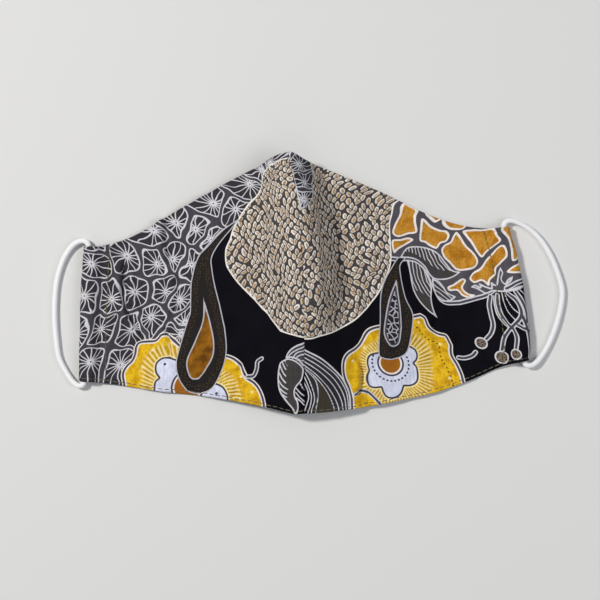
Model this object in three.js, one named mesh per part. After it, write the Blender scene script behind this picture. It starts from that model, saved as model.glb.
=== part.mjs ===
// A contoured cloth face mask, lying on a table with its front up.
// Two shaped cloth panels meet at a centre seam that stands up as a ridge over the nose and mouth.
// The side edge of each panel is folded back and stitched into a casing, and an elastic cord runs
// through the casing and out at both ends as the ear loop.
// Units are millimetres. +X is across the mask, +Y is towards the nose, +Z is up from the table.

import * as THREE from "three";

// Driving sizes
const MASK_WIDTH = 232.5; // between the two side edges, at the widest
const MASK_HEIGHT = 133.4; // from the chin to the top of the nose
const RIDGE_HEIGHT = 36; // the centre seam above the table, at its highest
const RIDGE_WIDTH = 26; // the ridge over the nose, from flank to flank
const CLOTH = 1.4; // the sewn layers of cotton together
const CASING_WIDTH = 11; // from the casing's stitch line to the folded side edge
const CORD_DIAMETER = 2.8; // round elastic
const CLEARANCE = 0.3; // between faces that touch on the real mask
const EDGE_LIFT = 0.35; // how far the hemmed edges stand off the table

// Grid of each panel
const COLUMN_STEPS = 25; // from the seam to the stitch line
const ROW_STEPS = 26; // from the chin edge to the nose edge
const SEAM_CROWDING = 1.75; // above 1, the columns are closer near the ridge
const CASING_TOP_STEPS = 4;
const CASING_FOLD_STEPS = 5;
const CASING_BACK_STEPS = 3;

// Cord tube
const CORD_SIDES = 8;
const CORD_STEPS = 76;

// Sections up the mask, from the chin edge (0) to the nose edge (1).
// seam, left and right are places across, as shares of half the width.
// crest and swell are heights, as shares of RIDGE_HEIGHT: the ridge's top, and the low tent it stands on.
// leftFlank and rightFlank are the ridge's reach either side of the seam, as shares of RIDGE_WIDTH.
// steep is the exponent of the flanks: 2 is a soft hump, 4 a boxy one.
const SECTIONS = [
  { at: 0.0, seam: -0.001, left: 1.0, right: 0.993, crest: 0.24, swell: 0.13, leftFlank: 0.95, rightFlank: 0.95, steep: 2.0 },
  { at: 0.15, seam: -0.002, left: 0.999, right: 0.999, crest: 0.44, swell: 0.24, leftFlank: 0.72, rightFlank: 0.8, steep: 2.2 },
  { at: 0.33, seam: -0.003, left: 0.997, right: 0.987, crest: 0.72, swell: 0.4, leftFlank: 0.54, rightFlank: 0.6, steep: 2.9 },
  { at: 0.5, seam: -0.006, left: 0.995, right: 0.973, crest: 0.92, swell: 0.5, leftFlank: 0.5, rightFlank: 0.52, steep: 3.4 },
  { at: 0.68, seam: -0.017, left: 0.991, right: 0.953, crest: 1.0, swell: 0.5, leftFlank: 0.66, rightFlank: 0.48, steep: 3.0 },
  { at: 0.84, seam: -0.037, left: 0.986, right: 0.932, crest: 0.9, swell: 0.34, leftFlank: 0.6, rightFlank: 0.4, steep: 2.8 },
  { at: 0.94, seam: -0.059, left: 0.981, right: 0.915, crest: 0.68, swell: 0.16, leftFlank: 0.5, rightFlank: 0.37, steep: 2.6 },
  { at: 1.0, seam: -0.071, left: 0.978, right: 0.903, crest: 0.47, swell: 0.06, leftFlank: 0.44, rightFlank: 0.38, steep: 2.5 },
];

// The hemmed edges, from the seam (0) to the side edge (1), as shares of half the height.
const EDGES = [
  { across: 0.0, leftTop: 1.0, leftBottom: -0.994, rightTop: 1.0, rightBottom: -0.994 },
  { across: 0.05, leftTop: 0.978, leftBottom: -0.999, rightTop: 0.966, rightBottom: -0.994 },
  { across: 0.11, leftTop: 0.938, leftBottom: -0.974, rightTop: 0.913, rightBottom: -0.986 },
  { across: 0.17, leftTop: 0.887, leftBottom: -0.949, rightTop: 0.874, rightBottom: -0.974 },
  { across: 0.235, leftTop: 0.832, leftBottom: -0.926, rightTop: 0.831, rightBottom: -0.96 },
  { across: 0.36, leftTop: 0.729, leftBottom: -0.889, rightTop: 0.751, rightBottom: -0.923 },
  { across: 0.47, leftTop: 0.63, leftBottom: -0.864, rightTop: 0.667, rightBottom: -0.884 },
  { across: 0.6, leftTop: 0.515, leftBottom: -0.84, rightTop: 0.558, rightBottom: -0.83 },
  { across: 0.75, leftTop: 0.375, leftBottom: -0.803, rightTop: 0.466, rightBottom: -0.738 },
  { across: 0.88, leftTop: 0.303, leftBottom: -0.77, rightTop: 0.427, rightBottom: -0.64 },
  { across: 1.0, leftTop: 0.283, leftBottom: -0.751, rightTop: 0.437, rightBottom: -0.591 },
];

// Dents and soft folds. x and y are shares of half the width and half the height, length and width
// are shares of RIDGE_WIDTH, depth is a share of RIDGE_HEIGHT, and turn is in degrees from +Y.
const DENTS = [
  { panel: "left", x: -0.73, y: -0.27, length: 0.75, width: 0.24, depth: 0.075, turn: 42 },
  { panel: "left", x: -0.47, y: -0.68, length: 0.85, width: 0.2, depth: 0.05, turn: 8 },
  { panel: "left", x: -0.37, y: -0.62, length: 0.8, width: 0.16, depth: 0.035, turn: -6 },
  { panel: "left", x: -0.22, y: 0.1, length: 0.9, width: 0.3, depth: 0.05, turn: 20 },
  { panel: "right", x: 0.13, y: 0.14, length: 1.3, width: 0.26, depth: 0.085, turn: -4 },
  { panel: "right", x: 0.26, y: -0.7, length: 0.8, width: 0.2, depth: 0.055, turn: -5 },
  { panel: "right", x: 0.56, y: -0.35, length: 1.0, width: 0.4, depth: 0.035, turn: -12 },
];

// Centrelines of the two ear loops. Each starts inside the casing below its upper mouth, goes round
// and comes back up the casing. x and y are millimetres, and lift is from 0, lying on the table,
// to 1, at the middle of the casing.
const LEFT_LOOP = [
  { x: -111.7, y: 6.0, lift: 1 },
  { x: -111.2, y: 12.0, lift: 1 },
  { x: -110.8, y: 16.6, lift: 1 },
  { x: -110.9, y: 19.8, lift: 1 },
  { x: -112.3, y: 21.9, lift: 1 },
  { x: -115.0, y: 22.2, lift: 0.8 },
  { x: -118.6, y: 20.4, lift: 0.4 },
  { x: -122.4, y: 15.8, lift: 0.1 },
  { x: -125.4, y: 9.4, lift: 0 },
  { x: -127.5, y: 1.5, lift: 0 },
  { x: -128.5, y: -8.0, lift: 0 },
  { x: -128.6, y: -18.5, lift: 0 },
  { x: -127.8, y: -29.0, lift: 0 },
  { x: -126.4, y: -38.0, lift: 0 },
  { x: -122.6, y: -45.6, lift: 0.06 },
  { x: -119.2, y: -50.4, lift: 0.34 },
  { x: -116.6, y: -52.6, lift: 0.72 },
  { x: -114.3, y: -52.7, lift: 1 },
  { x: -113.2, y: -50.4, lift: 1 },
  { x: -113.1, y: -45.0, lift: 1 },
  { x: -113.0, y: -32.0, lift: 1 },
  { x: -112.6, y: -15.0, lift: 1 },
  { x: -111.72, y: 5.6, lift: 1 },
];
const RIGHT_LOOP = [
  { x: 105.0, y: 17.5, lift: 1 },
  { x: 104.1, y: 21.5, lift: 1 },
  { x: 102.6, y: 26.4, lift: 1 },
  { x: 101.9, y: 29.6, lift: 1 },
  { x: 103.0, y: 32.0, lift: 1 },
  { x: 106.2, y: 32.5, lift: 0.8 },
  { x: 111.8, y: 30.4, lift: 0.4 },
  { x: 117.2, y: 26.8, lift: 0.1 },
  { x: 122.0, y: 21.8, lift: 0 },
  { x: 126.4, y: 14.6, lift: 0 },
  { x: 130.0, y: 6.0, lift: 0 },
  { x: 132.5, y: -3.4, lift: 0 },
  { x: 131.8, y: -11.6, lift: 0 },
  { x: 129.6, y: -20.6, lift: 0 },
  { x: 126.0, y: -30.0, lift: 0 },
  { x: 122.6, y: -36.0, lift: 0.14 },
  { x: 119.2, y: -40.4, lift: 0.48 },
  { x: 116.2, y: -42.3, lift: 0.88 },
  { x: 113.4, y: -41.9, lift: 1 },
  { x: 112.3, y: -39.4, lift: 1 },
  { x: 112.9, y: -33.0, lift: 1 },
  { x: 112.4, y: -22.0, lift: 1 },
  { x: 110.5, y: -8.0, lift: 1 },
  { x: 108.0, y: 5.8, lift: 1 },
  { x: 105.1, y: 17.1, lift: 1 },
];

// Heights that follow from the sizes above, each at the middle of its layer
const BACK_HEIGHT = CLOTH / 2;
const CORD_IN_CASING = CLOTH + CLEARANCE + CORD_DIAMETER / 2;
const CORD_ON_TABLE = CORD_DIAMETER / 2 + CLEARANCE / 3;
const CASING_HEIGHT = CLOTH + 2 * CLEARANCE + CORD_DIAMETER + CLOTH / 2;
const STITCH_HEIGHT = CLOTH + CLEARANCE + CLOTH / 2;
const EDGE_HEIGHT = CLOTH / 2 + EDGE_LIFT;

const SWELL_REACH = 0.82; // how far out the low tent goes, as a share of the way to the side edge
const STITCH_REACH = 0.14; // how far inside the stitch line the cloth comes down to the table
const CASING_RISE = 0.5; // how much of the casing's width the cloth takes to rise over the cord

// A smooth value of one column of a table, with the rows in order of their key.
function read(table, key, column, t) {
  let i = 1;
  while (i < table.length - 1 && table[i][key] < t) i += 1;
  const a = table[i - 1];
  const b = table[i];
  const span = b[key] - a[key];
  const before = table[Math.max(0, i - 2)];
  const after = table[Math.min(table.length - 1, i + 1)];
  const slopeA = (b[column] - before[column]) / (b[key] - before[key]);
  const slopeB = (after[column] - a[column]) / (after[key] - a[key]);
  const x = Math.min(1, Math.max(0, (t - a[key]) / span));
  return (
    a[column] * (1 + 2 * x) * (1 - x) ** 2 +
    slopeA * span * x * (1 - x) ** 2 +
    b[column] * x * x * (3 - 2 * x) -
    slopeB * span * x * x * (1 - x)
  );
}

function smooth(x) {
  const t = Math.min(1, Math.max(0, x));
  return t * t * (3 - 2 * t);
}

// The place across of the seam and of the side edge, at a share of the way up.
function seamAt(up) {
  return (read(SECTIONS, "at", "seam", up) * MASK_WIDTH) / 2;
}

function sideAt(panel, up) {
  return (panel.sign * read(SECTIONS, "at", panel.name, up) * MASK_WIDTH) / 2;
}

// The place up the mask of a point that is a share of the way across and a share of the way up.
function placeUp(panel, across, up) {
  const top = read(EDGES, "across", panel.name + "Top", across);
  const bottom = read(EDGES, "across", panel.name + "Bottom", across);
  return ((bottom + (top - bottom) * up) * MASK_HEIGHT) / 2;
}

function dentAt(panel, x, y) {
  let depth = 0;
  for (const dent of DENTS) {
    if (dent.panel !== panel.name) continue;
    const dx = x - (dent.x * MASK_WIDTH) / 2;
    const dy = y - (dent.y * MASK_HEIGHT) / 2;
    const turn = THREE.MathUtils.degToRad(dent.turn);
    const along = (dy * Math.cos(turn) + dx * Math.sin(turn)) / (dent.length * RIDGE_WIDTH);
    const aside = (dx * Math.cos(turn) - dy * Math.sin(turn)) / (dent.width * RIDGE_WIDTH);
    depth += dent.depth * RIDGE_HEIGHT * Math.exp(-along * along - aside * aside);
  }
  return depth;
}

// The height of the cloth between the seam and the stitch line.
function heightAt(panel, across, up, x, y) {
  const crest = read(SECTIONS, "at", "crest", up) * RIDGE_HEIGHT;
  const swell = read(SECTIONS, "at", "swell", up) * RIDGE_HEIGHT;
  const reach = read(SECTIONS, "at", panel.name + "Flank", up) * RIDGE_WIDTH;
  const steep = read(SECTIONS, "at", "steep", up);
  const ridge = (crest - swell) * Math.exp(-((Math.abs(x - seamAt(up)) / reach) ** steep));
  const tent = swell * (0.5 + 0.5 * Math.cos(Math.PI * Math.min(1, across / SWELL_REACH)));
  const table = EDGE_HEIGHT + dentAt(panel, x, y);
  return Math.max(table, EDGE_HEIGHT + ridge + tent) - dentAt(panel, x, y);
}

// The middle of the cloth at a share of the way from the seam to the stitch line.
function bodyPoint(panel, out, up) {
  const start = seamAt(up) + (panel.sign * CLEARANCE) / 2;
  const side = sideAt(panel, up);
  const stitch = side - panel.sign * CASING_WIDTH;
  const x = start + (stitch - start) * out;
  const across = (x - start) / (side - start);
  const y = placeUp(panel, across, up);
  const low = heightAt(panel, across, up, x, y);
  const near = smooth((out - 1 + STITCH_REACH) / STITCH_REACH);
  return new THREE.Vector3(x, y, low + (STITCH_HEIGHT - low) * near);
}

// The middle of the cloth in the casing: width is from the stitch line out, height from the table.
function casingPoint(panel, width, height, up) {
  const start = seamAt(up) + (panel.sign * CLEARANCE) / 2;
  const side = sideAt(panel, up);
  const x = side - panel.sign * (CASING_WIDTH - width);
  return new THREE.Vector3(x, placeUp(panel, (x - start) / (side - start), up), height);
}

// The casing's outline from the stitch line, over the cord, round the folded edge and back beneath.
function casingOutline() {
  const fold = (CASING_HEIGHT - BACK_HEIGHT) / 2;
  const foldCentre = CASING_WIDTH - CLOTH / 2 - fold;
  const outline = [];
  for (let i = 1; i <= CASING_TOP_STEPS; i += 1) {
    const width = (foldCentre * i) / CASING_TOP_STEPS;
    const rise = smooth(width / (CASING_WIDTH * CASING_RISE));
    outline.push({ width, height: STITCH_HEIGHT + (CASING_HEIGHT - STITCH_HEIGHT) * rise });
  }
  for (let i = 1; i <= CASING_FOLD_STEPS; i += 1) {
    const angle = Math.PI / 2 - (Math.PI * i) / CASING_FOLD_STEPS;
    outline.push({
      width: foldCentre + fold * Math.cos(angle),
      height: BACK_HEIGHT + fold + fold * Math.sin(angle),
    });
  }
  for (let i = 1; i <= CASING_BACK_STEPS; i += 1) {
    outline.push({ width: foldCentre * (1 - i / CASING_BACK_STEPS), height: BACK_HEIGHT });
  }
  return outline;
}

// The grid of a panel, one list of points for each column from the seam to the end of the fold.
function panelGrid(panel) {
  const columns = [];
  for (let i = 0; i <= COLUMN_STEPS; i += 1) {
    const out = (i / COLUMN_STEPS) ** SEAM_CROWDING;
    columns.push((up) => bodyPoint(panel, out, up));
  }
  for (const step of casingOutline()) {
    columns.push((up) => casingPoint(panel, step.width, step.height, up));
  }
  return columns.map((point) => {
    const column = [];
    for (let j = 0; j <= ROW_STEPS; j += 1) column.push(point(j / ROW_STEPS));
    return column;
  });
}

// A closed shell of even thickness round a grid of points at the middle of the cloth.
function shell(grid, thickness, turned) {
  const columns = grid.length;
  const rows = grid[0].length;
  const position = [];
  for (const side of [1, -1]) {
    for (let i = 0; i < columns; i += 1) {
      for (let j = 0; j < rows; j += 1) {
        const along = new THREE.Vector3().subVectors(
          grid[Math.min(i + 1, columns - 1)][j],
          grid[Math.max(i - 1, 0)][j],
        );
        const up = new THREE.Vector3().subVectors(
          grid[i][Math.min(j + 1, rows - 1)],
          grid[i][Math.max(j - 1, 0)],
        );
        const normal = new THREE.Vector3().crossVectors(along, up).normalize();
        const offset = ((turned ? -1 : 1) * side * thickness) / 2;
        position.push(...grid[i][j].clone().addScaledVector(normal, offset).toArray());
      }
    }
  }
  const outer = (i, j) => i * rows + j;
  const inner = (i, j) => columns * rows + i * rows + j;
  const index = [];
  const quad = (a, b, c, d) => {
    if (turned) index.push(a, c, b, a, d, c);
    else index.push(a, b, c, a, c, d);
  };
  for (let i = 0; i + 1 < columns; i += 1) {
    for (let j = 0; j + 1 < rows; j += 1) {
      quad(outer(i, j), outer(i + 1, j), outer(i + 1, j + 1), outer(i, j + 1));
      quad(inner(i, j + 1), inner(i + 1, j + 1), inner(i + 1, j), inner(i, j));
    }
    quad(inner(i, 0), inner(i + 1, 0), outer(i + 1, 0), outer(i, 0));
    quad(outer(i, rows - 1), outer(i + 1, rows - 1), inner(i + 1, rows - 1), inner(i, rows - 1));
  }
  for (let j = 0; j + 1 < rows; j += 1) {
    quad(outer(0, j), outer(0, j + 1), inner(0, j + 1), inner(0, j));
    quad(inner(columns - 1, j), inner(columns - 1, j + 1), outer(columns - 1, j + 1), outer(columns - 1, j));
  }
  const geometry = new THREE.BufferGeometry();
  geometry.setAttribute("position", new THREE.Float32BufferAttribute(position, 3));
  geometry.setIndex(index);
  geometry.computeVertexNormals();
  return geometry;
}

// A round elastic cord along a loop's centreline.
function cordGeometry(loop) {
  const rise = CORD_IN_CASING - CORD_ON_TABLE;
  const points = loop.map((p) => new THREE.Vector3(p.x, p.y, CORD_ON_TABLE + rise * p.lift));
  const path = new THREE.CatmullRomCurve3(points, false, "centripetal");
  const section = new THREE.Shape();
  for (let i = 0; i < CORD_SIDES; i += 1) {
    const angle = (2 * Math.PI * i) / CORD_SIDES;
    const x = (CORD_DIAMETER / 2) * Math.cos(angle);
    const y = (CORD_DIAMETER / 2) * Math.sin(angle);
    if (i === 0) section.moveTo(x, y);
    else section.lineTo(x, y);
  }
  section.closePath();
  return new THREE.ExtrudeGeometry(section, { steps: CORD_STEPS, extrudePath: path });
}

function piece(name, geometry, colour, roughness) {
  const material = new THREE.MeshStandardMaterial({ color: colour, roughness, metalness: 0 });
  const mesh = new THREE.Mesh(geometry, material);
  mesh.name = name;
  return mesh;
}

function panelPiece(panel, colour) {
  const geometry = shell(panelGrid(panel), CLOTH, panel.sign < 0);
  return piece(panel.name + "_panel", geometry, colour, 0.85);
}

// The mask stands on the table with the middle of its cloth over the origin.
const panels = [
  panelPiece({ name: "left", sign: -1 }, 0x55524f),
  panelPiece({ name: "right", sign: 1 }, 0x6b5a3c),
];
const loops = [
  piece("left_ear_loop", cordGeometry(LEFT_LOOP), 0xf2f2f6, 0.7),
  piece("right_ear_loop", cordGeometry(RIGHT_LOOP), 0xf2f2f6, 0.7),
];

const box = new THREE.Box3();
for (const panel of panels) box.expandByObject(panel);
const centre = box.getCenter(new THREE.Vector3());

const mask = new THREE.Group();
mask.add(...panels, ...loops);
mask.position.set(-centre.x, -centre.y, -box.min.z);

export default mask;
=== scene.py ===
import math

import bpy
import numpy as np
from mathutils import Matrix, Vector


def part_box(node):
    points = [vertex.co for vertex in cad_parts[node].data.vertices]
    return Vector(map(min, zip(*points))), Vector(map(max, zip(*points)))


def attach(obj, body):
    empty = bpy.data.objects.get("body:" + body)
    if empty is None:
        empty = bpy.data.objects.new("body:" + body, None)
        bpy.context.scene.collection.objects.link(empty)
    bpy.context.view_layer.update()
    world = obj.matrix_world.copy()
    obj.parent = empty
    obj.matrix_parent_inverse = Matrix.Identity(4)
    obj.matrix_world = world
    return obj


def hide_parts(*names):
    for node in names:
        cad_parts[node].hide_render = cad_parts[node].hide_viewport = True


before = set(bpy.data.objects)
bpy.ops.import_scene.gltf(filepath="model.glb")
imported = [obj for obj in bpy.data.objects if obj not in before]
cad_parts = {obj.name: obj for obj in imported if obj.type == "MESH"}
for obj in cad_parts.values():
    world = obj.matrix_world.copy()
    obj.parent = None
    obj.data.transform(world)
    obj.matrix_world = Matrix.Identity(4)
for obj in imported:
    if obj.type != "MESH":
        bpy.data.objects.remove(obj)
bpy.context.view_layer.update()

# Everything is worked out in millimetres, as in the part's own frame, until a mesh is made
MM = 0.001
LEFT_LOW, LEFT_HIGH = (np.array(corner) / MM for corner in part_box("left_panel"))
RIGHT_HIGH = np.array(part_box("right_panel")[1]) / MM

# Sizes of the cloth
CLOTH = 1.4
CASING_WIDTH = 11.0
CORD_DIAMETER = 2.8
CLEARANCE = 0.3
EDGE_LIFT = 0.35
SEAM_OVERLAP = 0.1
HALF_WIDTH = (RIGHT_HIGH[0] - LEFT_LOW[0]) / 2
HALF_HEIGHT = (LEFT_HIGH[1] - LEFT_LOW[1]) / 2 - CLOTH / 4
RIDGE_HEIGHT = LEFT_HIGH[2] - CLOTH - EDGE_LIFT
RIDGE_WIDTH = 26.0

# Heights over the table: of the middle of a wall, or of a cord's centreline
BACK_HEIGHT = CLOTH / 2
CORD_IN_CASING = CLOTH + CLEARANCE + CORD_DIAMETER / 2
CORD_ON_TABLE = CORD_DIAMETER / 2 + CLEARANCE / 3
CASING_HEIGHT = CLOTH + 2 * CLEARANCE + CORD_DIAMETER + CLOTH / 2
STITCH_HEIGHT = CLOTH + CLEARANCE + CLOTH / 2
EDGE_HEIGHT = CLOTH / 2 + EDGE_LIFT

# Shares of a panel's width over which it swells and climbs to the casing, and of the casing's width
# over which the casing rises
SWELL_REACH = 0.82
STITCH_REACH = 0.14
CASING_RISE = 0.5

# The lowest that the middle of the loose cloth can lie, how softly it comes down to that, and the
# lowest point of any mesh
REST_HEIGHT = CLOTH / 2 + 0.05
REST_SOFTNESS = 0.15
FLOOR_CLEARANCE = 0.02

# Sections up the mask, from the chin edge (0) to the nose edge (1), as shares of the sizes above
SECTION_COLUMNS = ("at", "seam", "left", "right", "crest", "swell", "left_flank", "right_flank", "steep")
SECTIONS = (
    (0.0, -0.001, 1.0, 0.993, 0.24, 0.13, 0.95, 0.95, 2.0),
    (0.15, -0.002, 0.999, 0.999, 0.44, 0.24, 0.72, 0.8, 2.2),
    (0.33, -0.003, 0.997, 0.987, 0.72, 0.4, 0.54, 0.6, 2.9),
    (0.5, -0.006, 0.995, 0.973, 0.92, 0.5, 0.5, 0.52, 3.4),
    (0.68, -0.017, 0.991, 0.953, 1.0, 0.5, 0.66, 0.48, 3.0),
    (0.84, -0.037, 0.986, 0.932, 0.9, 0.34, 0.6, 0.4, 2.8),
    (0.94, -0.059, 0.981, 0.915, 0.68, 0.16, 0.5, 0.37, 2.6),
    (1.0, -0.071, 0.978, 0.903, 0.47, 0.06, 0.44, 0.38, 2.5),
)

# The hemmed edges, from the seam (0) to the side edge (1), as shares of half the height
EDGE_COLUMNS = ("across", "left_top", "left_bottom", "right_top", "right_bottom")
EDGES = (
    (0.0, 1.0, -0.994, 1.0, -0.994),
    (0.05, 0.978, -0.999, 0.966, -0.994),
    (0.11, 0.938, -0.974, 0.913, -0.986),
    (0.17, 0.887, -0.949, 0.874, -0.974),
    (0.235, 0.832, -0.926, 0.831, -0.96),
    (0.36, 0.729, -0.889, 0.751, -0.923),
    (0.47, 0.63, -0.864, 0.667, -0.884),
    (0.6, 0.515, -0.84, 0.558, -0.83),
    (0.75, 0.375, -0.803, 0.466, -0.738),
    (0.88, 0.303, -0.77, 0.427, -0.64),
    (1.0, 0.283, -0.751, 0.437, -0.591),
)

# Dents and soft folds: places as shares of half the width and height, length and width as shares
# of the ridge's width, depth as a share of its height, and turn in degrees from +Y
DENT_COLUMNS = ("panel", "x", "y", "length", "width", "depth", "turn")
DENTS = (
    ("left", -0.73, -0.27, 0.75, 0.24, 0.075, 42),
    ("left", -0.47, -0.68, 0.85, 0.2, 0.05, 8),
    ("left", -0.37, -0.62, 0.8, 0.16, 0.035, -6),
    ("left", -0.22, 0.1, 0.9, 0.3, 0.05, 20),
    ("right", 0.13, 0.14, 1.3, 0.26, 0.085, -4),
    ("right", 0.26, -0.7, 0.8, 0.2, 0.055, -5),
    ("right", 0.56, -0.35, 1.0, 0.4, 0.035, -12),
)

# Centrelines of the ear loops, with the cord's height from the table (0) to inside the casing (1)
LEFT_LOOP = (
    (-111.7, 6.0, 1), (-111.2, 12.0, 1), (-110.8, 16.6, 1), (-110.9, 19.8, 1), (-112.3, 21.9, 1),
    (-115.0, 22.2, 0.8), (-118.6, 20.4, 0.4), (-122.4, 15.8, 0.1), (-125.4, 9.4, 0), (-127.5, 1.5, 0),
    (-128.5, -8.0, 0), (-128.6, -18.5, 0), (-127.8, -29.0, 0), (-126.4, -38.0, 0), (-122.6, -45.6, 0.06),
    (-119.2, -50.4, 0.34), (-116.6, -52.6, 0.72), (-114.3, -52.7, 1), (-113.2, -50.4, 1),
    (-113.1, -45.0, 1), (-113.0, -32.0, 1), (-112.6, -15.0, 1), (-111.72, 5.6, 1),
)
RIGHT_LOOP = (
    (105.0, 17.5, 1), (104.1, 21.5, 1), (102.6, 26.4, 1), (101.9, 29.6, 1), (103.0, 32.0, 1),
    (106.2, 32.5, 0.8), (111.8, 30.4, 0.4), (117.2, 26.8, 0.1), (122.0, 21.8, 0), (126.4, 14.6, 0),
    (130.0, 6.0, 0), (132.5, -3.4, 0), (131.8, -11.6, 0), (129.6, -20.6, 0), (126.0, -30.0, 0),
    (122.6, -36.0, 0.14), (119.2, -40.4, 0.48), (116.2, -42.3, 0.88), (113.4, -41.9, 1),
    (112.3, -39.4, 1), (112.9, -33.0, 1), (112.4, -22.0, 1), (110.5, -8.0, 1), (108.0, 5.8, 1),
    (105.1, 17.1, 1),
)

# The photograph's pixel over the frame's origin, the size of a pixel on the table, and its side
PHOTO_ORIGIN = np.array((304.8, 283.7))
PHOTO_PIXEL = 0.5153
PHOTO_SIDE = 600


# Tables

def column(table, columns, name):
    place = columns.index(name)
    return np.array([row[place] for row in table])


def read(table, columns, name, at):
    """A smooth value of one column of a table whose first column is its key."""
    x = column(table, columns, columns[0])
    y = column(table, columns, name)
    last = len(x) - 1
    at = np.asarray(at, float)
    i = np.clip(np.searchsorted(x, at), 1, last)
    before = np.maximum(i - 2, 0)
    after = np.minimum(i + 1, last)
    span = x[i] - x[i - 1]
    slope_a = (y[i] - y[before]) / (x[i] - x[before])
    slope_b = (y[after] - y[i - 1]) / (x[after] - x[i - 1])
    t = np.clip((at - x[i - 1]) / span, 0, 1)
    rise = y[i - 1] * (1 + 2 * t) * (1 - t) ** 2 + slope_a * span * t * (1 - t) ** 2
    return rise + y[i] * t * t * (3 - 2 * t) - slope_b * span * t * t * (1 - t)


def section(name, up):
    return read(SECTIONS, SECTION_COLUMNS, name, up)


def edge(name, across):
    return read(EDGES, EDGE_COLUMNS, name, across)


def smooth(x):
    t = np.clip(x, 0, 1)
    return t * t * (3 - 2 * t)


# The form of the cloth

PANELS = {"left": -1, "right": 1}


def seam_at(up):
    return section("seam", up) * HALF_WIDTH


def side_at(name, up):
    return PANELS[name] * section(name, up) * HALF_WIDTH


def place_up(name, across, up):
    top = edge(name + "_top", across)
    bottom = edge(name + "_bottom", across)
    return (bottom + (top - bottom) * up) * HALF_HEIGHT


def dent_at(name, x, y):
    depth = np.zeros_like(x)
    for row in DENTS:
        dent = dict(zip(DENT_COLUMNS, row))
        if dent["panel"] != name:
            continue
        dx = x - dent["x"] * HALF_WIDTH
        dy = y - dent["y"] * HALF_HEIGHT
        turn = math.radians(dent["turn"])
        along = (dy * math.cos(turn) + dx * math.sin(turn)) / (dent["length"] * RIDGE_WIDTH)
        aside = (dx * math.cos(turn) - dy * math.sin(turn)) / (dent["width"] * RIDGE_WIDTH)
        depth += dent["depth"] * RIDGE_HEIGHT * np.exp(-along * along - aside * aside)
    return depth


def height_at(name, across, up, x, y):
    crest = section("crest", up) * RIDGE_HEIGHT
    swell = section("swell", up) * RIDGE_HEIGHT
    reach = section(name + "_flank", up) * RIDGE_WIDTH
    ridge = (crest - swell) * np.exp(-((np.abs(x - seam_at(up)) / reach) ** section("steep", up)))
    tent = swell * (0.5 + 0.5 * np.cos(np.pi * np.minimum(1, across / SWELL_REACH)))
    dent = dent_at(name, x, y)
    return np.maximum(EDGE_HEIGHT + dent, EDGE_HEIGHT + ridge + tent) - dent


def body_points(name, out, up):
    """The middle of the cloth from the seam (out 0) to the casing's stitch line (out 1)."""
    start = seam_at(up) - PANELS[name] * SEAM_OVERLAP / 2
    side = side_at(name, up)
    x = start + (side - PANELS[name] * CASING_WIDTH - start) * out
    across = (x - start) / (side - start)
    y = place_up(name, across, up)
    low = height_at(name, across, up, x, y)
    near = smooth((out - 1 + STITCH_REACH) / STITCH_REACH)
    return np.stack((x, y, low + (STITCH_HEIGHT - low) * near), axis=-1)


def casing_points(name, width, height, up):
    """The middle of the cloth in the casing, with width from the stitch line outwards."""
    start = seam_at(up) - PANELS[name] * SEAM_OVERLAP / 2
    side = side_at(name, up)
    x = side - PANELS[name] * (CASING_WIDTH - width)
    y = place_up(name, (x - start) / (side - start), up)
    return np.stack((x, y, np.broadcast_to(height, x.shape)), axis=-1)


# The grid of the cloth: how many columns and rows it has, about how long they are, and how far from
# an edge its extra points lie, for the edge to be round
BODY_COLUMNS = 168
CASING_TOP_COLUMNS = 15
CASING_FOLD_COLUMNS = 18
CASING_BACK_COLUMNS = 12
ROWS = 176
ROW_LENGTH = 105.0
COLUMN_LENGTH = 105.0
EDGE_RINGS = np.array((0.0, 0.06, 0.2, 0.45, 0.8))
RING_MARGIN = 1.5
ROUNDED_EDGE = 0.9


def casing_outline():
    """Width and height of the casing's middle, from the stitch line over the fold to the back's edge."""
    fold = (CASING_HEIGHT - BACK_HEIGHT) / 2
    centre = CASING_WIDTH - CLOTH / 2 - fold
    width = np.linspace(0, centre, CASING_TOP_COLUMNS + 1)[1:]
    rise = smooth(width / (CASING_WIDTH * CASING_RISE))
    top = np.stack((width, STITCH_HEIGHT + (CASING_HEIGHT - STITCH_HEIGHT) * rise), axis=-1)
    angle = np.linspace(np.pi / 2, -np.pi / 2, CASING_FOLD_COLUMNS + 1)[1:]
    round_edge = np.stack((centre + fold * np.cos(angle), BACK_HEIGHT + fold * (1 + np.sin(angle))), axis=-1)
    back = np.linspace(centre, 0, CASING_BACK_COLUMNS + 1)[1:]
    rings = EDGE_RINGS[1:]
    back = np.unique(np.concatenate((back[back > rings.max() * RING_MARGIN], [0.0], rings)))[::-1]
    return np.concatenate((top, round_edge, np.stack((back, np.full(len(back), BACK_HEIGHT)), axis=-1)))


def spaced(length, count):
    """Places along a length, evenly spread but with a few close together at its two ends."""
    inner = np.linspace(EDGE_RINGS[-1], length - EDGE_RINGS[-1], count)
    return np.concatenate((EDGE_RINGS[:-1], inner, length - EDGE_RINGS[-2::-1])) / length


def panel_grid(name):
    """The middle of the cloth, one row of points for each column from the seam outwards."""
    up = spaced(COLUMN_LENGTH, ROWS)[None, :]
    inner = np.linspace(EDGE_RINGS[-1] / ROW_LENGTH, 1, BODY_COLUMNS)
    out = np.concatenate((EDGE_RINGS[:-1] / ROW_LENGTH, inner))
    body = body_points(name, out[:, None], up)
    outline = casing_outline()
    casing = casing_points(name, outline[:, :1], outline[:, 1:], up)
    return np.concatenate((body, casing)), len(body)


def lengths(grid, axis):
    """How far each point is along its row or column of the grid."""
    step = np.linalg.norm(np.diff(grid, axis=axis), axis=-1)
    start = np.zeros_like(np.take(step, [0], axis=axis))
    return np.concatenate((start, np.cumsum(step, axis=axis)), axis=axis)


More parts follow.
